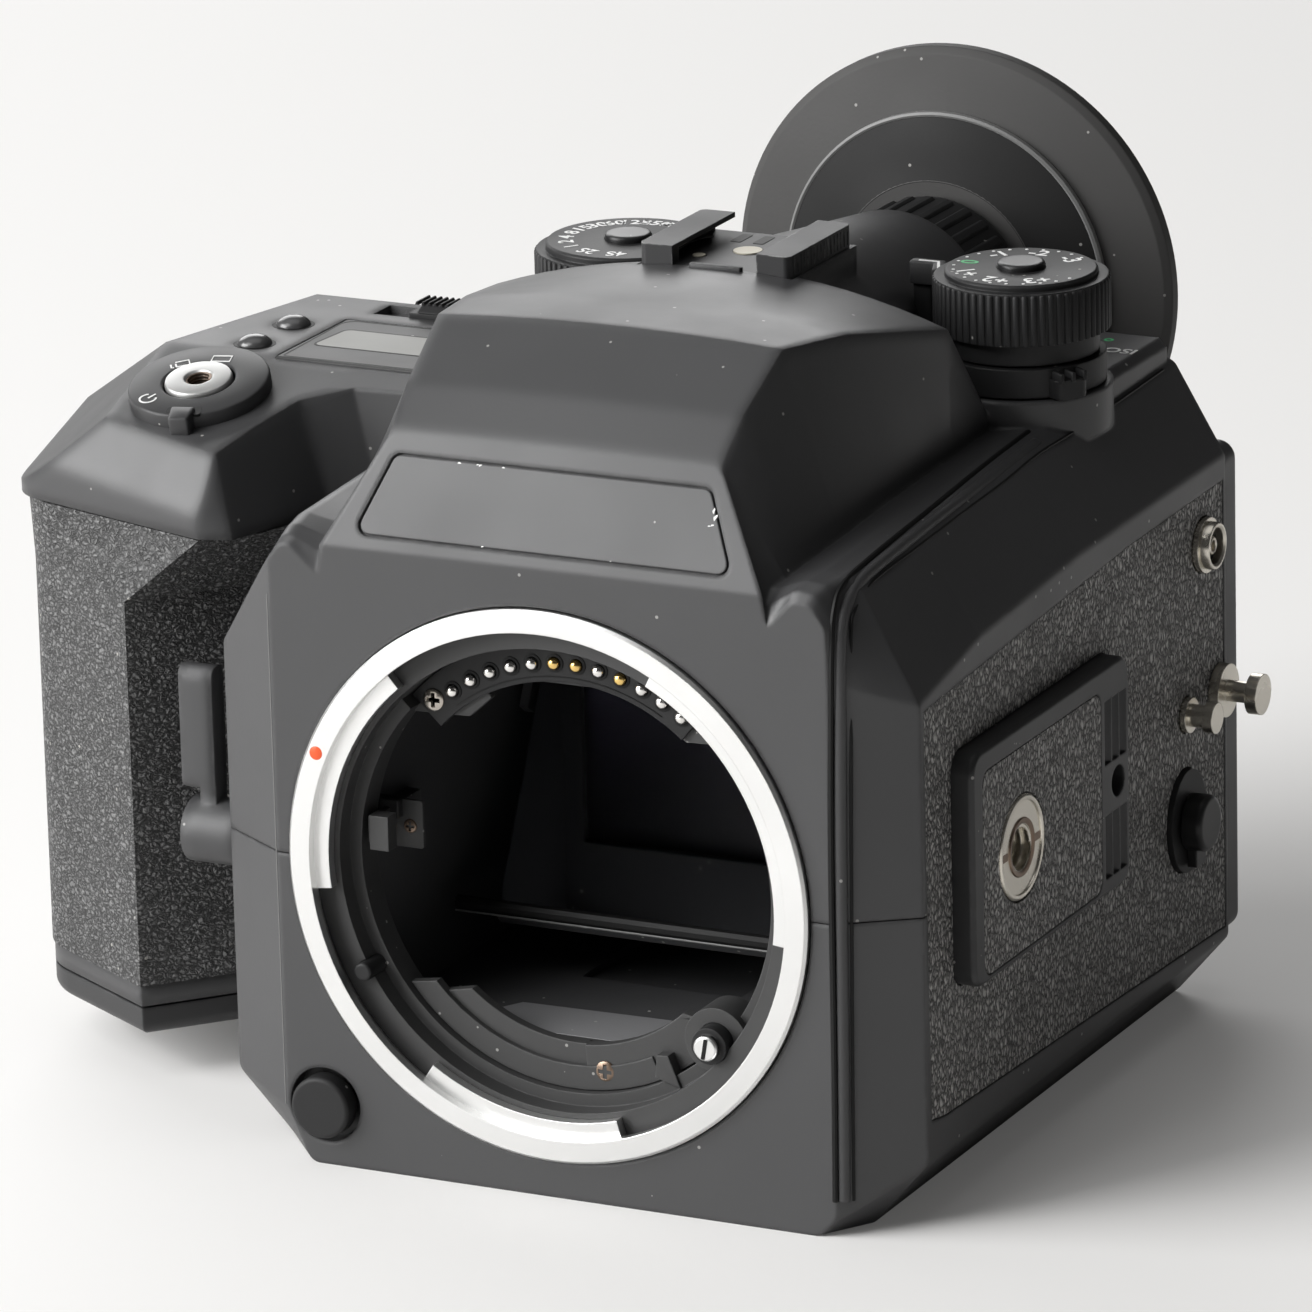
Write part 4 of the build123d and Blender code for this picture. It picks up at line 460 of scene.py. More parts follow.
# %% Paints, gear plastic, laminate and the display
white_paint = hard_finish("white_paint", (0.8, 0.8, 0.79), 0.5, depth=0.000004, edge=0.0, **clean)
green_paint = hard_finish("green_paint", (0.06, 0.42, 0.16), 0.5, depth=0.000004, edge=0.0, **clean)
red_paint = hard_finish("red_paint", (0.72, 0.09, 0.02), 0.32, depth=0.000004, edge=0.0, **clean)
gear_plastic = hard_finish("gear_plastic", (0.62, 0.6, 0.52), 0.45, edge=0.0001, wear=0.0)
laminate = hard_finish("green_laminate", (0.03, 0.13, 0.06), 0.4, texture=600.0, depth=0.00002,
                       edge=0.0001, wear=0.0)
display_cover = hard_finish("display_cover", (0.05, 0.05, 0.05), 0.45, depth=0.000004, edge=0.0002,
                            wear=0.05, dust_amount=0.02, specular=0.3)
display_cell = hard_finish("display_cell", (0.2, 0.2, 0.185), 0.4, depth=0.000002, edge=0.0, specular=0.3,
                           **clean)
print("small finishes ready")

# %% [markdown]
# Glass lets light through and bends it. The prism and screen sit in the dark, so only the eyepiece
# shows; a weak coating tint gives its purple sheen. Fingers leave it a little smeared.

# %% Glass
glass_bending = 1.52
coating_tint = (0.8, 0.7, 1.0, 1.0)
smear_scale = 300.0
cleaner, dimmer = 0.02, 0.03


def glass_finish(name, colour, roughness, coat):
    material, tree, shader = new_material(
        name, {"Base Color": (*colour, 1.0), "Transmission Weight": 1.0, "IOR": glass_bending,
               "Coat Weight": coat, "Coat Tint": coating_tint})
    smear = add_node(tree, "Group", node_tree=mould_texture)
    set_inputs(smear, {"Scale": smear_scale})
    patchy = add_node(tree, "MapRange", {"To Min": max(roughness - cleaner, 0.0),
                                         "To Max": roughness + dimmer})
    wire(tree, (smear, "Patches", patchy, "Value"), (patchy, "Result", shader, "Roughness"))
    return material


clear_glass = glass_finish("clear_glass", (0.97, 0.98, 0.98), 0.01, 0.3)
ground_glass = glass_finish("ground_glass", (0.9, 0.9, 0.88), 0.45, 0.0)
print("glass ready")

# %% Give each solid its finish
finishes = {
    satin_black: ["top_cover", "bottom_cover", "grip_shell", "back_door", "preview_lever"],
    foot_black: ["battery_holder", "side_tripod_plate"],
    control_black: ["remote_socket", "lens_release_button", "dioptre_ring",
                    "compensation_dial", "metering_lever", "shutter_dial", "power_switch",
                    "slide_switch", "back_latch", "contact_block", "lens_lock_pin", "focus_coupler"],
    gloss_black: ["compensation_lock", "shutter_dial_lock", "function_button_front",
                  "function_button_rear", "remote_cap"],
    soft_rubber: ["eyecup"],
    mount_black: ["mount_baffle", "aperture_lever"],
    chamber_black: ["mirror_box", "mirror_frame", "shutter_frame", "film_insert", "pressure_plate",
                    "feed_spool", "takeup_spool", "front_blade_lead", "front_blade_follow",
                    "rear_blade_lead", "rear_blade_follow"],
    shoe_black: ["hot_shoe"],
    bright_steel: ["lens_mount_ring", "shutter_button"],
    warm_nickel: ["tripod_bushes", "strap_lugs", "sync_socket", "battery_lock_key", "wind_motor"],
    contact_cream: ["shoe_contacts"],
    gold_plate: ["contact_pins"],
    mirror_silver: ["mirror_glass", "sub_mirror"],
    side_leatherette: ["side_leather"],
    grip_leatherette: ["grip_leather"],
    gear_plastic: ["wind_gear", "wind_pinion"],
    laminate: ["circuit_board"],
    clear_glass: ["prism", "eyepiece_lens"],
    ground_glass: ["focusing_screen"],
    display_cover: ["display_window"],
    cell_sleeve: ["battery_cells"],
}
for finish_material, names in finishes.items():
    for name in names:
        nodes[name].data.materials.clear()
        nodes[name].data.materials.append(finish_material)
print("solids with a finish:", sum(len(names) for names in finishes.values()), "of", len(nodes))

# %% [markdown]
# The small pieces are drawn flat, in millimetres, and then laid on the camera by a seat: a matrix
# whose X runs to the right, Y upwards and Z straight out of the surface. A piece drawn once in its
# own plane can so be turned onto any face, as a toolmaker drills a plate on the bench before
# fitting it. Each piece rides with the body that carries it, so that it moves with its joint.

# %% Seats and pieces
RIGHT, BACK, UP = (1.0, 0.0, 0.0), (0.0, 1.0, 0.0), (0.0, 0.0, 1.0)
weld_distance = 0.0000005
usual_edges, few_edges, many_edges, flat_edges = 35.0, 30.0, 20.0, 12.0


def seat(origin, right, up):
    across = Vector(right).normalized()
    out = across.cross(Vector(up)).normalized()
    placed = Matrix((across, out.cross(across), out)).transposed().to_4x4()
    placed.translation = Vector(origin)
    return placed


def front_seat(x, y, z):
    return seat((x, y, z), RIGHT, UP)


def shift(x=0.0, y=0.0, z=0.0, turn=0.0):
    return Matrix.Translation((x, y, z)) @ Matrix.Rotation(math.radians(turn), 4, "Z")


def smooth_mesh(name, points, faces, sharp):
    """A mesh from millimetres, shaded smooth but for edges that bend more than sharp degrees."""
    mesh = bpy.data.meshes.new(name)
    mesh.from_pydata([Vector(point) * MM for point in points], [], faces)
    welded = bmesh.new()
    welded.from_mesh(mesh)
    bmesh.ops.remove_doubles(welded, verts=welded.verts, dist=weld_distance)
    bmesh.ops.recalc_face_normals(welded, faces=welded.faces)
    welded.to_mesh(mesh)
    welded.free()
    mesh.shade_smooth()
    mesh.set_sharp_from_angle(angle=math.radians(sharp))
    return mesh


def placed_by(matrix, shape):
    return [matrix @ Vector(point) for point in shape[0]], shape[1]


def add_piece(name, shape, finish, body="body", place=None, sharp=usual_edges):
    points, faces = placed_by(place, shape) if place else shape
    mesh = smooth_mesh(name, points, faces, sharp)
    mesh.materials.append(finish)
    piece = put_in_scene(name, mesh)
    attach(piece, body)
    return piece


def joined(*shapes):
    points, faces = [], []
    for shape_points, shape_faces in shapes:
        faces += [[index + len(points) for index in face] for face in shape_faces]
        points += list(shape_points)
    return points, faces


print("pieces are drawn in millimetres; one millimetre is", MM, "of the scene's units")

# %% [markdown]
# Turned parts come off a lathe: a profile of radius and height, spun round its axis. Stamped and
# moulded ones are slabs: an outline with rounded corners, a thickness, and a small bevel round the
# top, since no real edge is perfectly sharp. Wires and beads are tubes along a path.

# %% Shapes: turned, stamped and drawn
tip_limit = 0.4
bevel_in, bevel_down = 0.35, 0.3


def skin(rings, closed=False):
    """Faces between rings of points. A closed skin joins the last ring to the first."""
    size, count = len(rings[0]), len(rings)
    points = [point for ring in rings for point in ring]
    faces = []
    for ring in range(count if closed else count - 1):
        here, there = ring * size, (ring + 1) % count * size
        faces += [(here + i, here + (i + 1) % size, there + (i + 1) % size, there + i) for i in range(size)]
    if not closed:
        faces += [list(range(size)), list(range((count - 1) * size, count * size))]
    return points, faces


def turned(profile, steps=48, closed=False):
    """A profile of (radius, height) spun round Z. A closed profile makes a ring."""
    turns = [2.0 * math.pi * step / steps for step in range(steps)]
    return skin([[(radius * math.cos(turn), radius * math.sin(turn), height) for turn in turns]
                 for radius, height in profile], closed)


def rounded(corners, radius, steps=4):
    """An outline with round corners. A corner's third number is a radius of its own."""
    outline = []
    count = len(corners)
    for i, corner in enumerate(corners):
        here = Vector(corner[:2])
        size = corner[2] if len(corner) > 2 else radius
        back = (Vector(corners[i - 1][:2]) - here).normalized()
        ahead = (Vector(corners[(i + 1) % count][:2]) - here).normalized()
        half = 0.5 * back.angle(ahead)
        centre = here + (back + ahead).normalized() * size / math.sin(half)
        start = here + back * size / math.tan(half) - centre
        turn = (here + ahead * size / math.tan(half) - centre).angle_signed(start)
        for step in range(steps + 1):
            angle = turn * step / steps
            outline.append(centre + Vector((start.x * math.cos(angle) - start.y * math.sin(angle),
                                            start.x * math.sin(angle) + start.y * math.cos(angle))))
    return outline


def rectangle(left, low, right, high, radius, steps=4):
    return rounded([(left, low), (right, low), (right, high), (left, high)], radius, steps)


def plain(*corners):
    return [Vector(corner) for corner in corners]


def arc(radius, first, last, count=14):
    """Points along part of a circle round the origin, between two angles in degrees."""
    turns = [math.radians(first + (last - first) * i / count) for i in range(count + 1)]
    return [Vector((radius * math.cos(turn), radius * math.sin(turn))) for turn in turns]


def shrunk(outline, amount):
    """The outline moved inwards. At a sharp tip the move is held back."""
    area = sum(a.x * b.y - b.x * a.y for a, b in zip(outline, outline[1:] + outline[:1]))
    inward = 1.0 if area > 0.0 else -1.0
    moved = []
    for i, here in enumerate(outline):
        before, after = outline[i - 1], outline[(i + 1) % len(outline)]
        along = (here - before).normalized() + (after - here).normalized()
        normal = Vector((-along.y, along.x)).normalized() * inward
        straight = Vector((-(here - before).y, (here - before).x)).normalized() * inward
        moved.append(here + normal * amount / max(normal.dot(straight), tip_limit))
    return moved


def stacked(layers, closed=False):
    return skin([[(point.x, point.y, height) for point in outline] for outline, height in layers], closed)


def slab(outline, low, high, bevel=0.0):
    """A plate between two heights. Its bevel round the top is drawn in two steps."""
    if bevel == 0.0:
        return stacked([(outline, low), (outline, high)])
    middle = shrunk(outline, bevel * bevel_in)
    return stacked([(outline, low), (outline, high - bevel), (middle, high - bevel * bevel_down),
                    (shrunk(outline, bevel), high)])


def frame_slab(outline, width, low, high):
    inner = shrunk(outline, width)
    return stacked([(outline, low), (outline, high), (inner, high), (inner, low)], closed=True)


def tube(path, radius, sides=8, closed=False, flat=1.0, side=UP):
    """A wire along path. side is a direction that the path never runs in."""
    path = [Vector(point) for point in path]
    turns = [2.0 * math.pi * (k + 0.5) / sides for k in range(sides)]
    rings = []
    for i, here in enumerate(path):
        before = path[i - 1] if (i or closed) else here
        after = path[(i + 1) % len(path)] if (i < len(path) - 1 or closed) else here
        along = (after - before).normalized()
        across = along.cross(Vector(side)).normalized()
        up = across.cross(along)
        rings.append([here + across * math.cos(turn) * radius + up * math.sin(turn) * radius * flat
                      for turn in turns])
    return skin(rings, closed)


def thread(radius, top, pitch, turns, steps):
    """The path of a screw thread that runs down from top."""
    turn = 2.0 * math.pi / steps
    return [(radius * math.cos(turn * step), radius * math.sin(turn * step), top - pitch * step / steps)
            for step in range(steps * turns)]


print("shapes ready: turned, slab, frame_slab, tube")

# %% [markdown]
# Knurls, ribs, pins and screws are one small shape repeated. A Geometry Nodes group places it:
# each point of a bare mesh carries a turn and a size, an instance goes onto each point, and the
# instances are made real and given their finish. Changing the shape changes every copy, as
# changing a cutter changes every tooth. The result is baked into a plain mesh at the end.

# %% Copies on points
copies_group = bpy.data.node_groups.new("copies_on_points", "GeometryNodeTree")
group_sockets = {}
for label, kind, side in (("Geometry", "Geometry", "INPUT"), ("Shape", "Object", "INPUT"),
                          ("Finish", "Material", "INPUT"), ("Geometry", "Geometry", "OUTPUT")):
    group_sockets[label] = copies_group.interface.new_socket(label, in_out=side,
                                                             socket_type="NodeSocket" + kind)
enter = copies_group.nodes.new("NodeGroupInput")
leave = copies_group.nodes.new("NodeGroupOutput")
shape_info = add_node(copies_group, "ObjectInfo")
instance = add_node(copies_group, "InstanceOnPoints")
turn_value = add_node(copies_group, "InputNamedAttribute", {"Name": "turn"}, data_type="QUATERNION")
size_value = add_node(copies_group, "InputNamedAttribute", {"Name": "size"}, data_type="FLOAT")
realize = add_node(copies_group, "RealizeInstances")
give_finish = add_node(copies_group, "SetMaterial")
wire(copies_group, (enter, "Shape", shape_info, "Object"), (enter, "Geometry", instance, "Points"),
     (shape_info, "Geometry", instance, "Instance"), (turn_value, "Attribute", instance, "Rotation"),
     (size_value, "Attribute", instance, "Scale"), (instance, "Instances", realize, "Geometry"),
     (realize, "Geometry", give_finish, "Geometry"), (enter, "Finish", give_finish, "Material"),
     (give_finish, "Geometry", leave, "Geometry"))


def copies(name, shape, seats, finish, body="body"):
    pattern = put_in_scene(name + "_pattern", smooth_mesh(name + "_pattern", *shape, usual_edges))
    spots = bpy.data.meshes.new(name + "_spots")
    spots.from_pydata([place.translation * MM for place in seats], [], [])
    spots.attributes.new("turn", "QUATERNION", "POINT")
    spots.attributes.new("size", "FLOAT", "POINT")
    for i, place in enumerate(seats):
        spots.attributes["turn"].data[i].value = place.to_quaternion()
        spots.attributes["size"].data[i].value = place.to_scale().x
    carrier = put_in_scene(name + "_carrier", spots)
    modifier = carrier.modifiers.new("copies", "NODES")
    modifier.node_group = copies_group
    modifier[group_sockets["Shape"].identifier] = pattern
    modifier[group_sockets["Finish"].identifier] = finish
    evaluated = carrier.evaluated_get(bpy.context.evaluated_depsgraph_get())
    baked = bpy.data.meshes.new_from_object(evaluated)
    baked.name = name
    bpy.data.objects.remove(carrier)
    bpy.data.objects.remove(pattern)
    piece = put_in_scene(name, baked)
    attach(piece, body)
    return piece


print("the copying group has", len(copies_group.nodes), "nodes")

# %% [markdown]
# Numbers and signs on a camera are filled with paint in shallow engraving, or printed. A text
# curve gives the outline, turned into a mesh a twentieth of a millimetre thick that stands a hair
# above the surface.

# %% Lettering
paint_thickness = 0.05
capital_share = 0.72
stroke_share = 0.02


def lettering(name, signs, finish, body="body"):
    points, faces = [], []
    for words, height, place in signs:
        curve = bpy.data.curves.new(name, "FONT")
        curve.body = words
        curve.size = height / capital_share
        curve.align_x = "CENTER"
        curve.align_y = "CENTER"
        curve.resolution_u = 3
        curve.offset = stroke_share * height
        curve.extrude = 0.5 * paint_thickness
        holder = put_in_scene(name, curve)
        letters = bpy.data.meshes.new_from_object(
            holder.evaluated_get(bpy.context.evaluated_depsgraph_get()))
        faces += [[index + len(points) for index in face.vertices] for face in letters.polygons]
        points += [place @ vertex.co for vertex in letters.vertices]
        bpy.data.objects.remove(holder)
        bpy.data.meshes.remove(letters)
    return add_piece(name, (points, faces), finish, body, sharp=few_edges)


print("lettering ready")

# %% [markdown]
# A dial is turned from black plastic or metal, and its side is knurled so that a finger holds it.
# The knurl of these two is coarse: broad rounded ribs with a narrow black groove between them. One
# rib is a stamped half round with a bevelled top, and the copying group sets it round the edge.

# %% Knurls of the two dials


def directions_at(degrees):
    """The outward and the following direction at an angle round an upright axis."""
    outward = arc(1.0, degrees, degrees, 1)[0].to_3d()
    return outward, Vector((-outward.y, outward.x, 0.0))


def around(centre, radius, height, count, first=0.0, last=360.0):
    seats = []
    for step in range(count):
        outward, onward = directions_at(first + (last - first) * step / count)
        seats.append(seat(Vector((*centre, height)) + outward * radius, outward, onward))
    return seats


exposure_dial = (33.5, 82.0)
speed_dial = (-28.3, 86.3)
rib_bow = [Vector((0.42 * point.x, 0.5 * point.y)) for point in arc(1.0, -90.0, 90.0, 5)]
dial_rib = slab([Vector((-0.5, -0.5)), *rib_bow, Vector((-0.5, 0.5))], 0.05, 7.15, 0.3)
for name, body, centre, radius, foot, count in (
        ("exposure_dial_ribs", "compensation_dial", exposure_dial, 11.8, 59.95, 62),
        ("speed_dial_ribs", "shutter_dial", speed_dial, 12.8, 57.05, 68)):
    copies(name, dial_rib, around(centre, radius, foot, count), control_black, body)
    print(name, count)

# %% [markdown]
# The numbers on a dial stand with their heads outwards, so that the one at the index is read from
# the dial's middle. They are engraved and filled with white. The neutral setting is filled with
# green, so that the photographer finds it at once. Small dots further out mark every step.

# %% Numbers of the two dials
speed_radius, speed_top, speed_size = 8.7, 65.41, 2.2
step_radius, step_top, step_size = 7.5, 68.11, 2.6


def dial_signs(centre, radius, top, size, marks):
    signs = []
    for words, degrees in marks:
        outward, onward = directions_at(degrees)
        signs.append((words, size, seat(Vector((*centre, top)) + outward * radius, -onward, outward)))
    return signs


speeds = (("1", 232), ("2", 214), ("4", 197), ("8", 180), ("15", 163), ("30", 146), ("60", 129),
          ("125", 110), ("250", 90), ("500", 69), ("1000", 46), ("A", 22), ("B", 0), ("8S", 319),
          ("4S", 285), ("2S", 256))
exposure_steps = (("+1", 224), ("+2", 267), ("+3", 310), ("-1", 138), ("-2", 95), ("-3", 52))
neutral = (("0", 181),)
lettering("speed_numbers", dial_signs(speed_dial, speed_radius, speed_top, speed_size, speeds),
          white_paint, "shutter_dial")
lettering("exposure_numbers", dial_signs(exposure_dial, step_radius, step_top, step_size, exposure_steps),
          white_paint, "compensation_dial")
lettering("exposure_zero", dial_signs(exposure_dial, step_radius, step_top, step_size, neutral),
          green_paint, "compensation_dial")
dot = turned([(0.0, 0.0), (0.24, 0.0), (0.24, 0.05), (0.0, 0.05)], 10)
copies("exposure_dots", dot, around(exposure_dial, 9.3, 68.09, 21, 52.0, 353.0), white_paint,
       "compensation_dial")
print("numbers on the dials:", len(speeds) + len(exposure_steps) + len(neutral))

# %% [markdown]
# Beside the right dial stands a small black block with a white stroke bent over it: the index that
# the settings are read against. A sign for the film speed is printed behind the dial, and the
# lever under the dial has three ridges for the finger.

# %% Index block, film speed mark and lever ridges
index_top = 66.0
sign_top = 52.31
index_outline = rounded([(14.3, 86.9), (18.0, 86.9), (19.3, 83.6), (20.9, 84.1), (19.3, 88.9), (14.3, 88.9)],
                        0.5)
stroke_path = [(15.6, 87.6, index_top), (18.5, 87.7, index_top), (20.0, 84.4, index_top)]
add_piece("index_post", slab(rectangle(14.6, 87.4, 17.6, 90.0, 0.5), 51.8, 63.2), control_black)
add_piece("index_block", slab(index_outline, 62.8, index_top, 0.3), control_black)
add_piece("index_stroke", tube(stroke_path, 0.3, 4, flat=0.3), white_paint)
for name, words, size, spot, finish in (("film_speed_sign", "ISO", 2.3, (40.1, 100.2), white_paint),
                                        ("film_speed_ring", "o", 2.0, (36.4, 104.6), green_paint)):
    lettering(name, [(words, size, shift(*spot, sign_top, 180.0))], finish)
outward, onward = directions_at(-35.0)
lever_end = Vector((*exposure_dial, 55.2)) + outward * 10.9
lever_ridge = slab(rectangle(-2.7, -0.32, 2.7, 0.32, 0.15, 2), -0.3, 1.1, 0.25)
copies("lever_ridges", lever_ridge, [seat(lever_end + onward * step, outward, onward)
                                     for step in (-1.8, 0.0, 1.8)], control_black, "metering_lever")
print("index, film speed sign and lever ridges done")

# %% [markdown]
# The main switch is a ring that turns round the shutter release. Its signs are a power sign, a
# stack of frames for continuous drive and one frame for single pictures, printed in white. The
# polished button in its middle has a thread for a cable release.

# %% Signs on the main switch
sloping_up = (0.0, 0.9681, 0.2504)
switch_seat = seat((-70.1, 37.07, 53.47), RIGHT, sloping_up)
button_seat = seat((-70.1, 36.97, 53.86), RIGHT, sloping_up)
power_centre = Vector((-4.62, -6.3))
line_width, leg_width = 0.2, 0.18
leg_step, leg_foot, leg_drop = 0.7, 0.35, 0.4


def printed_line(path, width=line_width, closed=False):
    return tube(path, width, 4, closed, flat=0.25)


def frame_sign(x, y, width, height, turn, legs=0):
    """A picture frame. legs are the corners of further frames that show behind it."""
    half, tall = 0.5 * width, 0.5 * height
    shapes = [printed_line([(-half, -tall, 0), (half, -tall, 0), (half, tall, 0), (-half, tall, 0)],
                           closed=legs == 0)]
    for leg in range(legs):
        side = -half - leg_step * leg
        corner = [(side + leg_foot, -tall, 0), (side, -tall, 0), (side, tall - leg_drop, 0)]
        shapes.append(printed_line(corner, leg_width))
    return placed_by(shift(x, y, 0.0, turn), joined(*shapes))


power_bow = [(power_centre + point).to_3d() for point in arc(1.15, 112.0, 382.0, 16)]
power_sign = joined(printed_line(power_bow), printed_line([(-4.62, -6.2, 0), (-4.1, -4.95, 0)]))
switch_ring = turned([(5.05, -2.3), (5.05, -0.25), (5.3, -0.02), (9.4, -0.02), (9.75, -0.2), (9.9, -0.55),
                      (9.9, -2.3)], 72, closed=True)
switch_tab = slab(rounded([(0.1, -8.3), (3.6, -7.7), (4.1, -11.2), (1.3, -11.7)], 0.4), -2.3, 0.5, 0.35)
tab_gap = slab(rounded([(-0.6, -7.9), (4.3, -7.0), (4.8, -9.0), (-0.3, -9.4)], 0.4), -0.4, -0.005)
main_switch = add_piece("main_switch", joined(switch_ring, switch_tab), switch_black, "power_switch",
                        switch_seat, few_edges)
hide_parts("power_switch")
add_piece("switch_tab_gap", tab_gap, gap_black, "power_switch", switch_seat)
add_piece("switch_signs", joined(power_sign, frame_sign(-4.4, 3.7, 1.9, 1.35, 35.0, 2),
                                 frame_sign(0.5, 6.05, 2.7, 1.5, 10.0)),
          white_paint, "power_switch", switch_seat)

button_profile = [(1.75, -3.4), (1.75, -0.3), (2.1, 0.0), (4.25, 0.0), (4.6, -0.12), (4.75, -0.5),
                  (4.75, -3.4)]
release_button = add_piece("release_button", turned(button_profile, 72, closed=True), button_steel,
                           "shutter_button", button_seat, few_edges)
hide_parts("shutter_button")
add_piece("release_thread_turns", tube(thread(1.75, -0.25, 0.5, 6, 16), 0.26, 4), dark_screw,
          "shutter_button", button_seat)
print("switch signs and release thread done")

# %% [markdown]
# The display is a liquid crystal cell under a dark window. The window sits in a shallow groove, so
# a black line runs round it, and the cell itself is a paler grey field with its own black border.

# %% Display cell and its border
display_top = 54.3
window_outline = rounded([(-63.5, 48.9, 0.8), (-38.0, 48.9, 0.5), (-38.0, 69.0, 0.5),
                          (-64.0, 69.0, 2.2)], 1.0)
cell_outline = rounded([(-62.2, 55.6), (-40.0, 55.6), (-40.0, 64.3), (-61.4, 64.3)], 1.1)
add_piece("window_groove", frame_slab(window_outline, 0.28, display_top, 54.53), gap_black)
add_piece("cell_border", frame_slab(shrunk(cell_outline, -0.3), 0.34, display_top, 54.54), gap_black)
add_piece("cell_field", slab(cell_outline, display_top, 54.53), display_cell)
slider_rib = slab(plain((-0.3, 0.0), (-0.12, 0.45), (0.12, 0.45), (0.3, 0.0)), -1.9, 1.9)
copies("slider_ribs", slider_rib, [front_seat(-55.4 + 0.95 * i, 75.8, 56.3) for i in range(7)],
       control_black, "slide_switch")
print("display and slider done")

# %% [markdown]
# Two small domes behind the switch change the drive and the reading. They are turned from grey plastic and
# polished; a black ring round each is painted shade of the recess it stands in.

# %% Function buttons
dome = turned([(2.45, -1.6), (2.45, 0.2), (2.3, 0.55), (1.85, 0.95), (1.2, 1.25), (0.6, 1.38),
               (0.0, 1.42)], 40)
dome_shade_ring = turned([(2.4, -0.3), (2.95, -0.3), (2.95, 0.03), (2.4, 0.03)], 40, closed=True)
for node, body, spot in (("function_button_front", "front_button", (-70.0, 53.2)),
                         ("function_button_rear", "rear_button", (-69.8, 64.2))):
    button = add_piece(node.replace("function", "dome"), dome, dome_grey, body, shift(*spot, 54.45))
    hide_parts(node)
    # The black ring is painted shade round the dome.
    add_piece(node + "_gap", dome_shade_ring, gap_black, place=shift(*spot, 54.5))
print("domes done")

# %% [markdown]
# Sprung pins carry signals between body and lens. Each is a polished dome, and a black ring round it is
# painted shadow. Most are silvered, three are gold plated, so the turned pins here replace the plain gold
# row.

# %% Contact pins and their painted shadow rings
pin_radius = 28.8
block_face = 8.4
pin_places = [front_seat(point.x, block_face, point.y) for point in arc(pin_radius, 126.4, 54.24, 11)]
pin = turned([(0.86, -0.6), (0.86, 0.42), (0.72, 0.7), (0.45, 0.86), (0.0, 0.93)], 20)
# The black ring round each pin is painted shadow.
pin_shadow_ring = turned([(0.92, -0.2), (1.3, -0.2), (1.3, 0.12), (0.95, 0.16)], 24, closed=True)
gilded = (5, 6, 8)
silver_pins = copies("silver_pins", pin, [place for i, place in enumerate(pin_places) if i not in gilded],
                     silver_plate, "lens_contacts")
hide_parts("contact_pins")
copies("gold_pins", pin, [pin_places[i] for i in gilded], gold_plate, "lens_contacts")
copies("pin_collars", pin_shadow_ring, pin_places, gap_black)
print("pins:", len(pin_places) - len(gilded), "silver and", len(gilded), "gold")

# %% [markdown]
# A cross-head screw is a shallow dome with a cross pressed into it. The cross has twelve corners
# and the rim twenty-four, so each side of the cross is joined to two steps of the rim. A marker in
# red enamel on the ring shows where the lens goes in.

# %% Screws and the lens marker
cross_arm, cross_width, cross_floor = 0.66, 0.19, 0.8
screw_dome = ((0.86, 0.04), (0.97, 0.16), (1.0, 0.32))
screw_foot, cross_depth = -0.2, 0.35


def cross_head(radius, height):
    arm, width = cross_arm * radius, cross_width * radius
    cross = [(width, width), (width, arm), (-width, arm), (-width, width), (-arm, width), (-arm, -width),
             (-width, -width), (-width, -arm), (width, -arm), (width, -width), (arm, -width), (arm, width)]
    rim = arc(1.0, 45.0, 390.0, 23)
    points = [(x, y, height) for x, y in cross]
    points += [(x * cross_floor, y * cross_floor, height - cross_depth) for x, y in cross]
    for reach, level in (*[(reach, height - drop) for reach, drop in screw_dome], (1.0, screw_foot)):
        points += [(x * radius * reach, y * radius * reach, level) for x, y in rim]
    faces = [list(range(12, 24))]
    for i in range(12):
        j = (i + 1) % 12
        faces += [(i, j, 12 + j, 12 + i),
                  (i, 24 + 2 * i, 24 + 2 * i + 1, 24 + (2 * i + 2) % 24, j)]
    for ring in range(3):
        for i in range(24):
            here, there = 24 + ring * 24, 48 + ring * 24
            faces.append((here + i, there + i, there + (i + 1) % 24, here + (i + 1) % 24))
    return points, faces


copies("contact_screw", cross_head(1.55, 0.35), [front_seat(-20.0, block_face, 21.6)], worn_screw)
copies("coupler_screw", cross_head(1.5, 0.35), [front_seat(4.7, 7.4, -27.3)], dark_screw)
marker = turned([(0.0, 0.16), (0.6, 0.12), (0.95, 0.02), (1.0, -0.1), (0.0, -0.1)], 28)
marker_spot = arc(36.8, 156.0, 156.0, 1)[0]
add_piece("lens_marker", marker, red_paint, place=front_seat(marker_spot.x, 0.0, marker_spot.y))
inner_line = [(point.x, 8.36, point.y) for point in arc(26.9, 128.0, 59.0, 23)]
add_piece("contact_block_line", tube(inner_line, 0.1, 4), gap_black)
print("screws, marker and block line done")

# %% [markdown]
# Inside on the left a small bracket of bent sheet holds a switch that feels the lens. Two tiny
# screws hold it and a wire rises from it.

# %% Bracket in the throat
bracket_face = 12.4
bracket_seat = front_seat(0.0, bracket_face, 0.0)
wire_path = [(-31.8, 12.0, 5.4), (-31.9, 11.9, 6.6), (-31.7, 11.8, 8.2)]
copies("bracket_screws", cross_head(1.0, 0.25), [front_seat(-26.3, bracket_face, 1.9),
                                                 front_seat(-29.4, bracket_face, 1.6)], dark_screw)
add_piece("bracket_plate", slab(rectangle(-32.8, -1.2, -24.4, 5.6, 0.4), -0.6, 0.0, 0.1), mount_black,
          place=bracket_seat)
add_piece("bracket_flap", slab(rectangle(-32.6, 3.0, -27.4, 5.8, 0.4), -0.4, 1.4, 0.15), control_black,
          place=bracket_seat)
add_piece("bracket_wire", tube(wire_path, 0.14, 6), silver_plate)
print("bracket done")

# %% [markdown]
# The nameplate is a separate plate let into the brow, so a fine dark gap runs round it. It stays
# bare. Years of use have knocked a few flakes of paint along its edge.

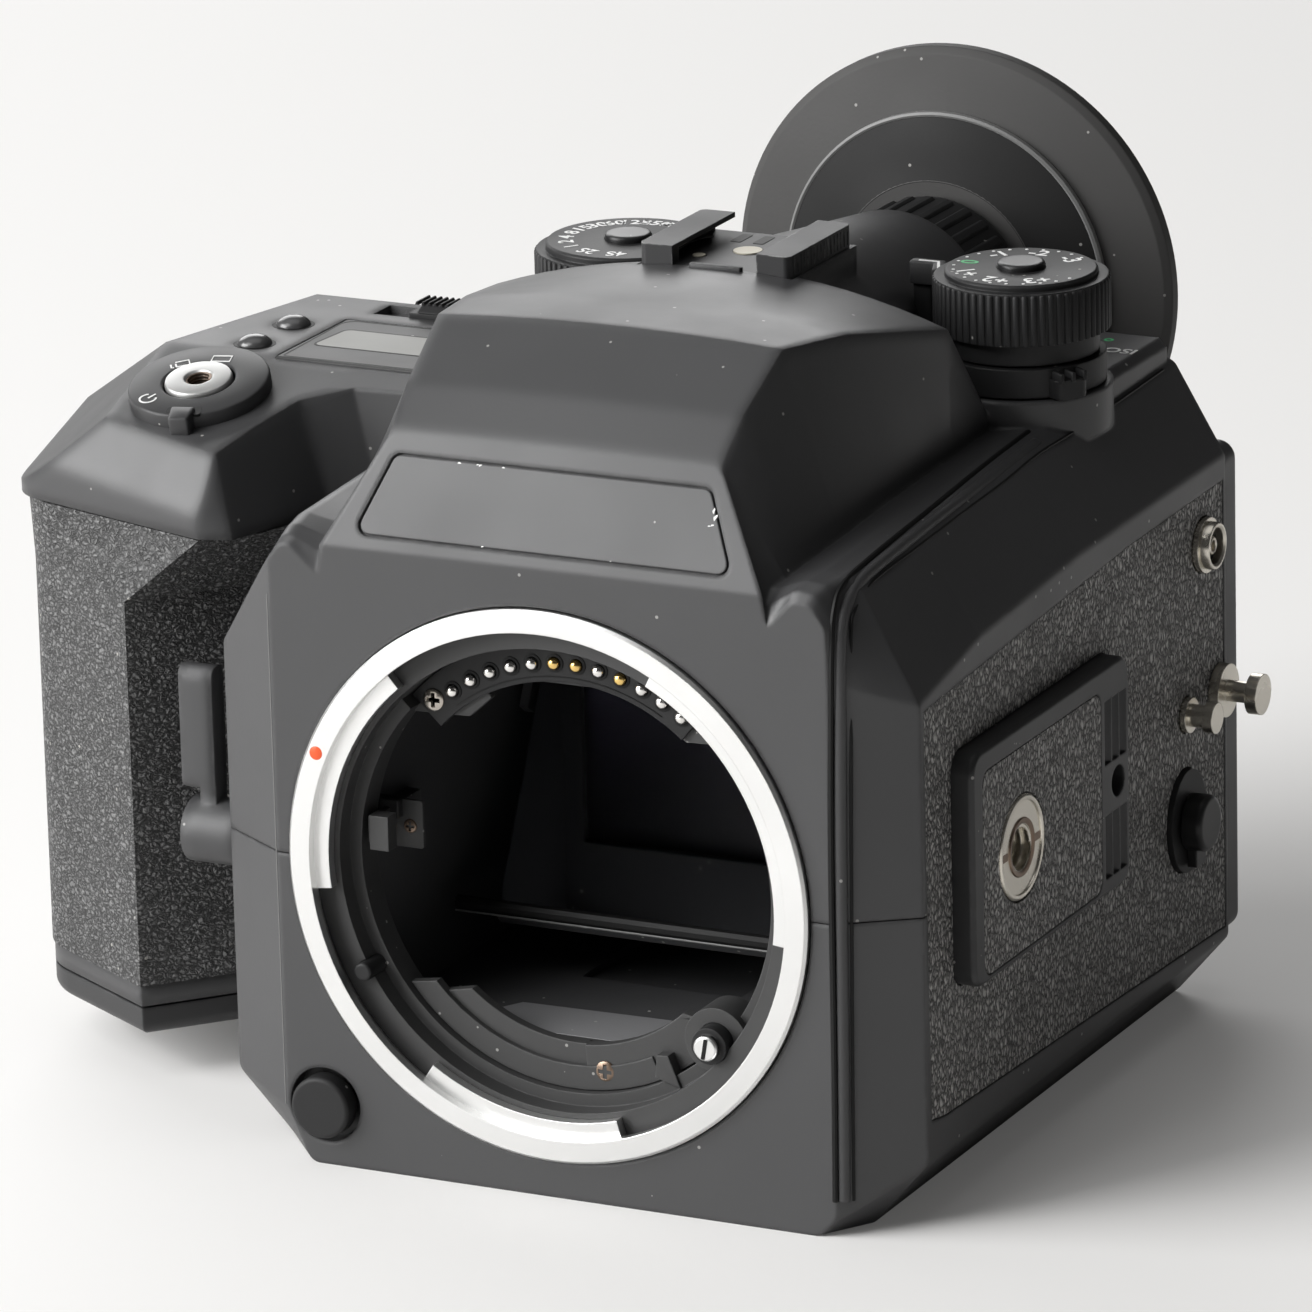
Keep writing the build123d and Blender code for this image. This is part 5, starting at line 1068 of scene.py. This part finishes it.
# %% Nameplate and its chips
brow_seat = seat((0.0, 1.0, 43.9), RIGHT, (0.0, 0.3586, 0.9335))
plate_outline = rounded([(-28.0, 1.7), (28.0, 1.7), (23.3, 13.2), (-23.3, 13.2)], 1.6)
plate_face = -0.12
add_piece("nameplate", slab(shrunk(plate_outline, 0.32), -0.62, plate_face, 0.12), plate_black,
          place=brow_seat, sharp=flat_edges)


def flake(x, y, size, turn):
    bumps = (1.0, 0.6, 0.9, 0.7, 1.1, 0.55, 0.8)
    directions = arc(size, 0.0, 360.0, len(bumps))
    outline = [Vector((bump * point.x, 0.55 * bump * point.y)) for bump, point in zip(bumps, directions)]
    return placed_by(shift(x, y, plate_face, turn), slab(outline, 0.0, 0.03))


paint_chips = ((24.0, 10.2, 0.42, 80), (24.35, 9.35, 0.5, 60), (24.05, 8.3, 0.28, 20), (23.6, 8.15, 0.22, 5),
               (-13.6, 12.72, 0.3, 0), (-10.9, 12.76, 0.22, 10), (-10.5, 12.7, 0.28, 30),
               (-7.1, 12.74, 0.26, 0), (-8.6, 2.1, 0.22, 15), (10.2, 2.1, 0.14, 0))
add_piece("paint_chips", joined(*[flake(*chip) for chip in paint_chips]), white_paint, place=brow_seat)
print("nameplate bare, chips:", len(paint_chips))

# %% [markdown]
# The dioptre ring has coarse ribs that a finger finds while the eye is at the finder. They run
# along the ring, with deep gaps between them.

# %% Ribs of the dioptre ring
eyepiece_height = 50.8
dioptre_front, dioptre_radius, dioptre_ribs = 114.6, 13.2, 28
rib_outline = plain((-0.4, -0.85), (0.35, -0.85), (0.7, -0.5), (0.7, 0.5), (0.35, 0.85), (-0.4, 0.85))
rib_seats = []
for i in range(dioptre_ribs):
    angle = 2.0 * math.pi * i / dioptre_ribs
    outward = Vector((math.cos(angle), 0.0, math.sin(angle)))
    foot = Vector((0.0, dioptre_front, eyepiece_height)) + outward * dioptre_radius
    rib_seats.append(seat(foot, outward, Vector(BACK).cross(outward)))
copies("dioptre_ribs", slab(rib_outline, 0.0, 10.8, 0.3), rib_seats, control_black, "dioptre")
print("dioptre ribs:", len(rib_seats))

# %% [markdown]
# The eyecup's front has a step: a grey flange outside and a dished inside. A dark sheet over the dish
# is painted shade, and a fine pale ring between them is a painted highlight.

# %% Painted shade in the eyecup's dish and painted highlight on its rim
cup_seat = front_seat(0.0, 129.0, eyepiece_height)
dish_shade_profile = [(15.4, 1.72), (19.9, 0.55), (23.9, -0.62), (24.3, -0.8), (24.3, -1.2), (19.9, 0.1),
                 (15.4, 1.5)]
cup_rim_profile = [(24.3, -1.3), (24.3, -0.75), (24.6, -0.62), (24.95, -0.85), (25.0, -1.6)]
add_piece("eyecup_liner", turned(dish_shade_profile, 96, closed=True), dish_shade_black, place=cup_seat)
add_piece("eyecup_rim", turned(cup_rim_profile, 96, closed=True), rim_highlight_grey, place=cup_seat)
print("eyecup liner done")

# %% [markdown]
# The tripod bush is turned from nickelled brass, with a lip, a dark chamfer, two slots for the
# fitting tool, and a thread cut inside.

# %% Tripod bush on the side
bush_seat = seat((54.4, 33.0, 2.5), BACK, UP)
lip_profile = [(6.3, -0.2), (6.45, 0.22), (6.9, 0.28), (7.15, 0.1), (7.15, -0.2)]
chamfer_profile = [(3.2, -0.3), (3.25, 0.03), (3.6, 0.2), (4.0, 0.22), (4.2, -0.2)]
add_piece("bush_lip", turned(lip_profile, 60, closed=True), warm_nickel, place=bush_seat)
add_piece("bush_chamfer", turned(chamfer_profile, closed=True), dark_screw, place=bush_seat)
add_piece("bush_thread", tube(thread(2.95, -0.2, 1.27, 4, 20), 0.34, 4), warm_nickel, place=bush_seat)
copies("bush_slots", slab(rectangle(-0.55, 4.4, 0.55, 6.25, 0.2, 2), -0.2, 0.03),
       [bush_seat @ shift(turn=turn) for turn in (90.0, 270.0)], dark_screw)
print("bush dressed")

# %% [markdown]
# Thin stamped crescents line the lower half of the throat one behind the other, so that stray
# light finds edges and no wall. The right plate carries a bent stop tab, and the focus coupler
# comes through it with a slotted end. Two lips hold the contact block at its ends.

# %% Crescents in the throat
throat_floor = front_seat(0.0, 8.6, 0.0)
lip_seat = front_seat(0.0, 10.2, 0.0)
coupler_seat = front_seat(22.5, 1.45, -19.8)
stamped = (
    ("near_crescent", arc(26.9, 221, 296) + arc(30.3, 296, 217), 0.0, 1.5, 0.1, throat_floor),
    ("rear_crescent", arc(24.0, 230, 274) + arc(30.2, 274, 221), -0.9, 0.6, 0.1, throat_floor),
    ("coupler_plate", arc(24.0, 274, 313) + plain((17.6, -17.8), (25.6, -17.7)) + arc(30.2, 325, 274),
     -0.4, 1.2, 0.1, throat_floor),
    ("stop_tab", plain((13.2, -23.3), (14.9, -23.2), (16.7, -27.6), (12.9, -26.5)), 1.1, 3.0, 0.1,
     throat_floor),
    ("contact_lip_left", rounded([(-24.0, 19.4), (-15.0, 19.6), (-11.6, 22.6), (-12.4, 23.8), (-14.8, 23.2),
                                  (-17.8, 21.4), (-23.0, 21.4)], 0.3), 0.0, 1.2, 0.12, lip_seat),
    ("contact_lip_right", rounded([(17.0, 19.7), (21.2, 19.8), (18.9, 21.8), (15.9, 21.8), (13.2, 23.7),
                                   (12.4, 23.2)], 0.3), 0.0, 1.2, 0.12, lip_seat))
for name, outline, low, high, bevel, place in stamped:
    add_piece(name, slab(outline, low, high, bevel), mount_black, place=place, sharp=many_edges)
coupler_turn = shift(turn=80.0)
coupler_disc = turned([(0.0, 0.3), (1.5, 0.3), (1.72, 0.1), (1.72, -0.3), (0.0, -0.3)], 32)
coupler_bar = placed_by(coupler_turn, slab(rectangle(-1.5, -0.2, 1.5, 0.2, 0.1), 0.2, 0.34))
coupler_slot = slab(rectangle(-1.45, -0.28, 1.45, 0.28, 0.1), 0.3, 0.38)
add_piece("coupler_end", joined(coupler_disc, coupler_bar), bright_steel, "focus_coupler", coupler_seat)
add_piece("coupler_slot", coupler_slot, gap_black, "focus_coupler", coupler_seat @ coupler_turn)
print("stamped pieces in the throat:", len(stamped))

# %% [markdown]
# The mirror sits in a black frame whose lower edge is a folded strip. The strip is drawn wide, so its
# black also paints shade over the mirror's lower edge. The chamber's floor ends in a smooth ramp in
# front of the flocked part; its grey is painted light falling in through the mount. Two thin pale lines
# on the strip's edge and the left edge of the frame are painted highlights.

# %% Mirror edge and floor ramp, with painted shade and light
mirror_low = (27.75, -15.05)


def mirror_line(lift, radius):
    return tube([(x, mirror_low[0] + lift, mirror_low[1] + lift) for x in (-28.0, 0.0, 28.0)], radius, 10)


mirror_side = [(-21.3 - 0.27 * i, 28.2 + 1.25 * i, -14.6 + 1.25 * i) for i in range(19)]
# The wide black strip also paints shade over the mirror's lower edge; the pale rims are painted highlights.
add_piece("mirror_strip", mirror_line(0.95, 1.1), gap_black, "mirror")
add_piece("mirror_rims", joined(mirror_line(0.06, 0.14), tube(mirror_side, 0.2)), rim_highlight_grey, "mirror")
# The ramp's grey is painted light falling through the mount.
ramp = slab(plain((-14.2, 20.4), (8.0, 21.2), (15.0, 10.6), (-20.0, 10.6)), 0.0, 0.4, 0.1)
add_piece("floor_ramp", ramp, ramp_lit_grey, place=shift(z=-24.5), sharp=many_edges)
print("mirror edge and ramp done")

# %% [markdown]
# Where the side meets the front and the deck, the moulding has a dark groove with a round bead
# beside it. It hides the joint between the two tools of the mould, and a finger feels it as the
# edge. Both follow the same line, up the front corner and back over the shoulder. A thin dark line
# runs beside them along the leather's edge, and a thin grey tube on the corner towards the grip is a
# painted highlight.

# %% Groove, bead and line on the shoulder
path_steps = 4


def smooth_path(corners):
    """A path that bends smoothly through all the corners."""
    path = []
    points = [Vector(corner) for corner in corners]
    for i in range(len(points) - 1):
        before, here = points[max(i - 1, 0)], points[i]
        there, after = points[i + 1], points[min(i + 2, len(points) - 1)]
        for step in range(path_steps):
            part = step / path_steps
            path.append(0.5 * (2 * here + (there - before) * part
                               + (2 * before - 5 * here + 4 * there - after) * part ** 2
                               + (3 * here - before - 3 * there + after) * part ** 3))
    return path + [points[-1]]


groove_path = smooth_path([(41.3, 1.05, -38.5), (41.5, 1.05, -20.0), (41.6, 1.1, 9.5), (41.9, 1.3, 30.0),
                           (41.9, 1.8, 37.5), (41.7, 3.0, 42.0), (41.5, 6.4, 44.8), (41.3, 16.5, 46.0),
                           (40.8, 33.6, 46.9), (40.0, 53.1, 47.8), (39.6, 70.0, 48.5)])
line_path = smooth_path([(43.3, 2.4, -38.5), (43.5, 2.4, -20.0), (43.8, 2.6, 9.3), (44.0, 2.8, 25.4),
                         (43.6, 4.2, 38.6), (43.4, 6.2, 41.9), (43.3, 12.1, 44.0), (43.5, 25.2, 44.9),
                         (43.5, 39.0, 45.7), (43.6, 52.7, 46.4), (43.4, 65.0, 47.2), (43.9, 80.0, 47.6),
                         (43.9, 106.0, 48.4)])
bead_path = smooth_path([(42.1, 2.0, -38.5), (42.3, 2.0, -20.0), (42.5, 2.1, 9.4), (42.7, 2.3, 28.0),
                         (42.5, 3.1, 37.8), (42.3, 4.9, 41.7), (42.2, 9.4, 44.2), (42.2, 20.0, 45.3),
                         (42.0, 36.3, 46.2), (41.8, 52.9, 46.9), (41.6, 68.0, 47.5)])
# The grey tube on the front corner is a painted highlight.
corner_path = [(-40.85, 1.3, z) for z in (36.0, 20.0, 0.0, -20.0, -36.0)]
for name, path, radius, sides, finish in (("shoulder_groove", groove_path, 0.42, 8, gap_black),
                                          ("shoulder_line", line_path, 0.24, 8, gap_black),
                                          ("shoulder_bead", bead_path, 0.95, 12, satin_black),
                                          ("front_corner_line", corner_path, 0.13, 6, rim_highlight_grey)):
    add_piece(name, tube(path, radius, sides, side=RIGHT), finish)
print("bead along", len(bead_path), "points")

# %% [markdown]
# The flash sync socket is a turned nickel sleeve round a black insulator with a tube in it, so the
# plug grips it outside and inside.

# %% Sleeve of the sync socket
socket_seat = seat((52.0, 102.2, 25.1), BACK, UP)
sleeve = turned([(2.55, -0.2), (3.35, -0.2), (3.35, 1.35), (3.2, 1.6), (2.9, 1.65), (2.55, 1.4)], 40,
                closed=True)
inner_sleeve = turned([(0.75, -0.2), (1.25, -0.2), (1.25, 0.9), (1.05, 1.05), (0.75, 0.95)], 28, closed=True)
insulator = turned([(1.2, 0.25), (2.6, 0.25), (2.6, -0.3), (1.2, -0.3)], 40, closed=True)
add_piece("sync_sleeve", joined(sleeve, inner_sleeve), warm_nickel, place=socket_seat)
add_piece("sync_insulator", insulator, gap_black, place=socket_seat)
print("sync socket sleeve done")

# %% [markdown]
# The accessory shoe is folded from sheet. Two leaf springs under its rails press a flash foot
# down, fine ridges stiffen the folded wall, a bar closes the front, and slots in the rear of its
# floor hold the springs.

# %% Springs, ridges and slots of the shoe
shoe_floor = 71.1
spring_bow = ((56.4, 71.6), (58.5, 72.3), (62.0, 72.5), (66.0, 72.2), (70.0, 71.5))
for side, middle in (("left", -7.9), ("right", 7.9)):
    leaf = smooth_path([(middle, y, z) for y, z in spring_bow])
    add_piece("shoe_spring_" + side, tube(leaf, 0.95, flat=0.16), shoe_black)
shoe_ridge = tube([(0.0, 0.0, 0.0), (0.0, 0.0, 1.2), (0.0, 0.0, 2.4)], 0.16, 6, side=RIGHT)
ridge_seats = [shift(11.24, 57.0 + 1.05 * i, shoe_floor) for i in range(17)]
copies("shoe_ridges", shoe_ridge, ridge_seats, shoe_black)
add_piece("shoe_front_bar", slab(rectangle(-3.4, 54.5, 4.4, 55.5, 0.3), 71.2, 71.9, 0.12), shoe_black)
slots = [slab(rectangle(x, 69.8, x + 1.6, 74.0, 0.3), shoe_floor, shoe_floor + 0.06)
         for x in (-4.6, -1.2, 2.2)]
add_piece("shoe_slots", joined(*slots), gap_black)
print("shoe: two springs,", len(ridge_seats), "ridges, a front bar and", len(slots), "slots")
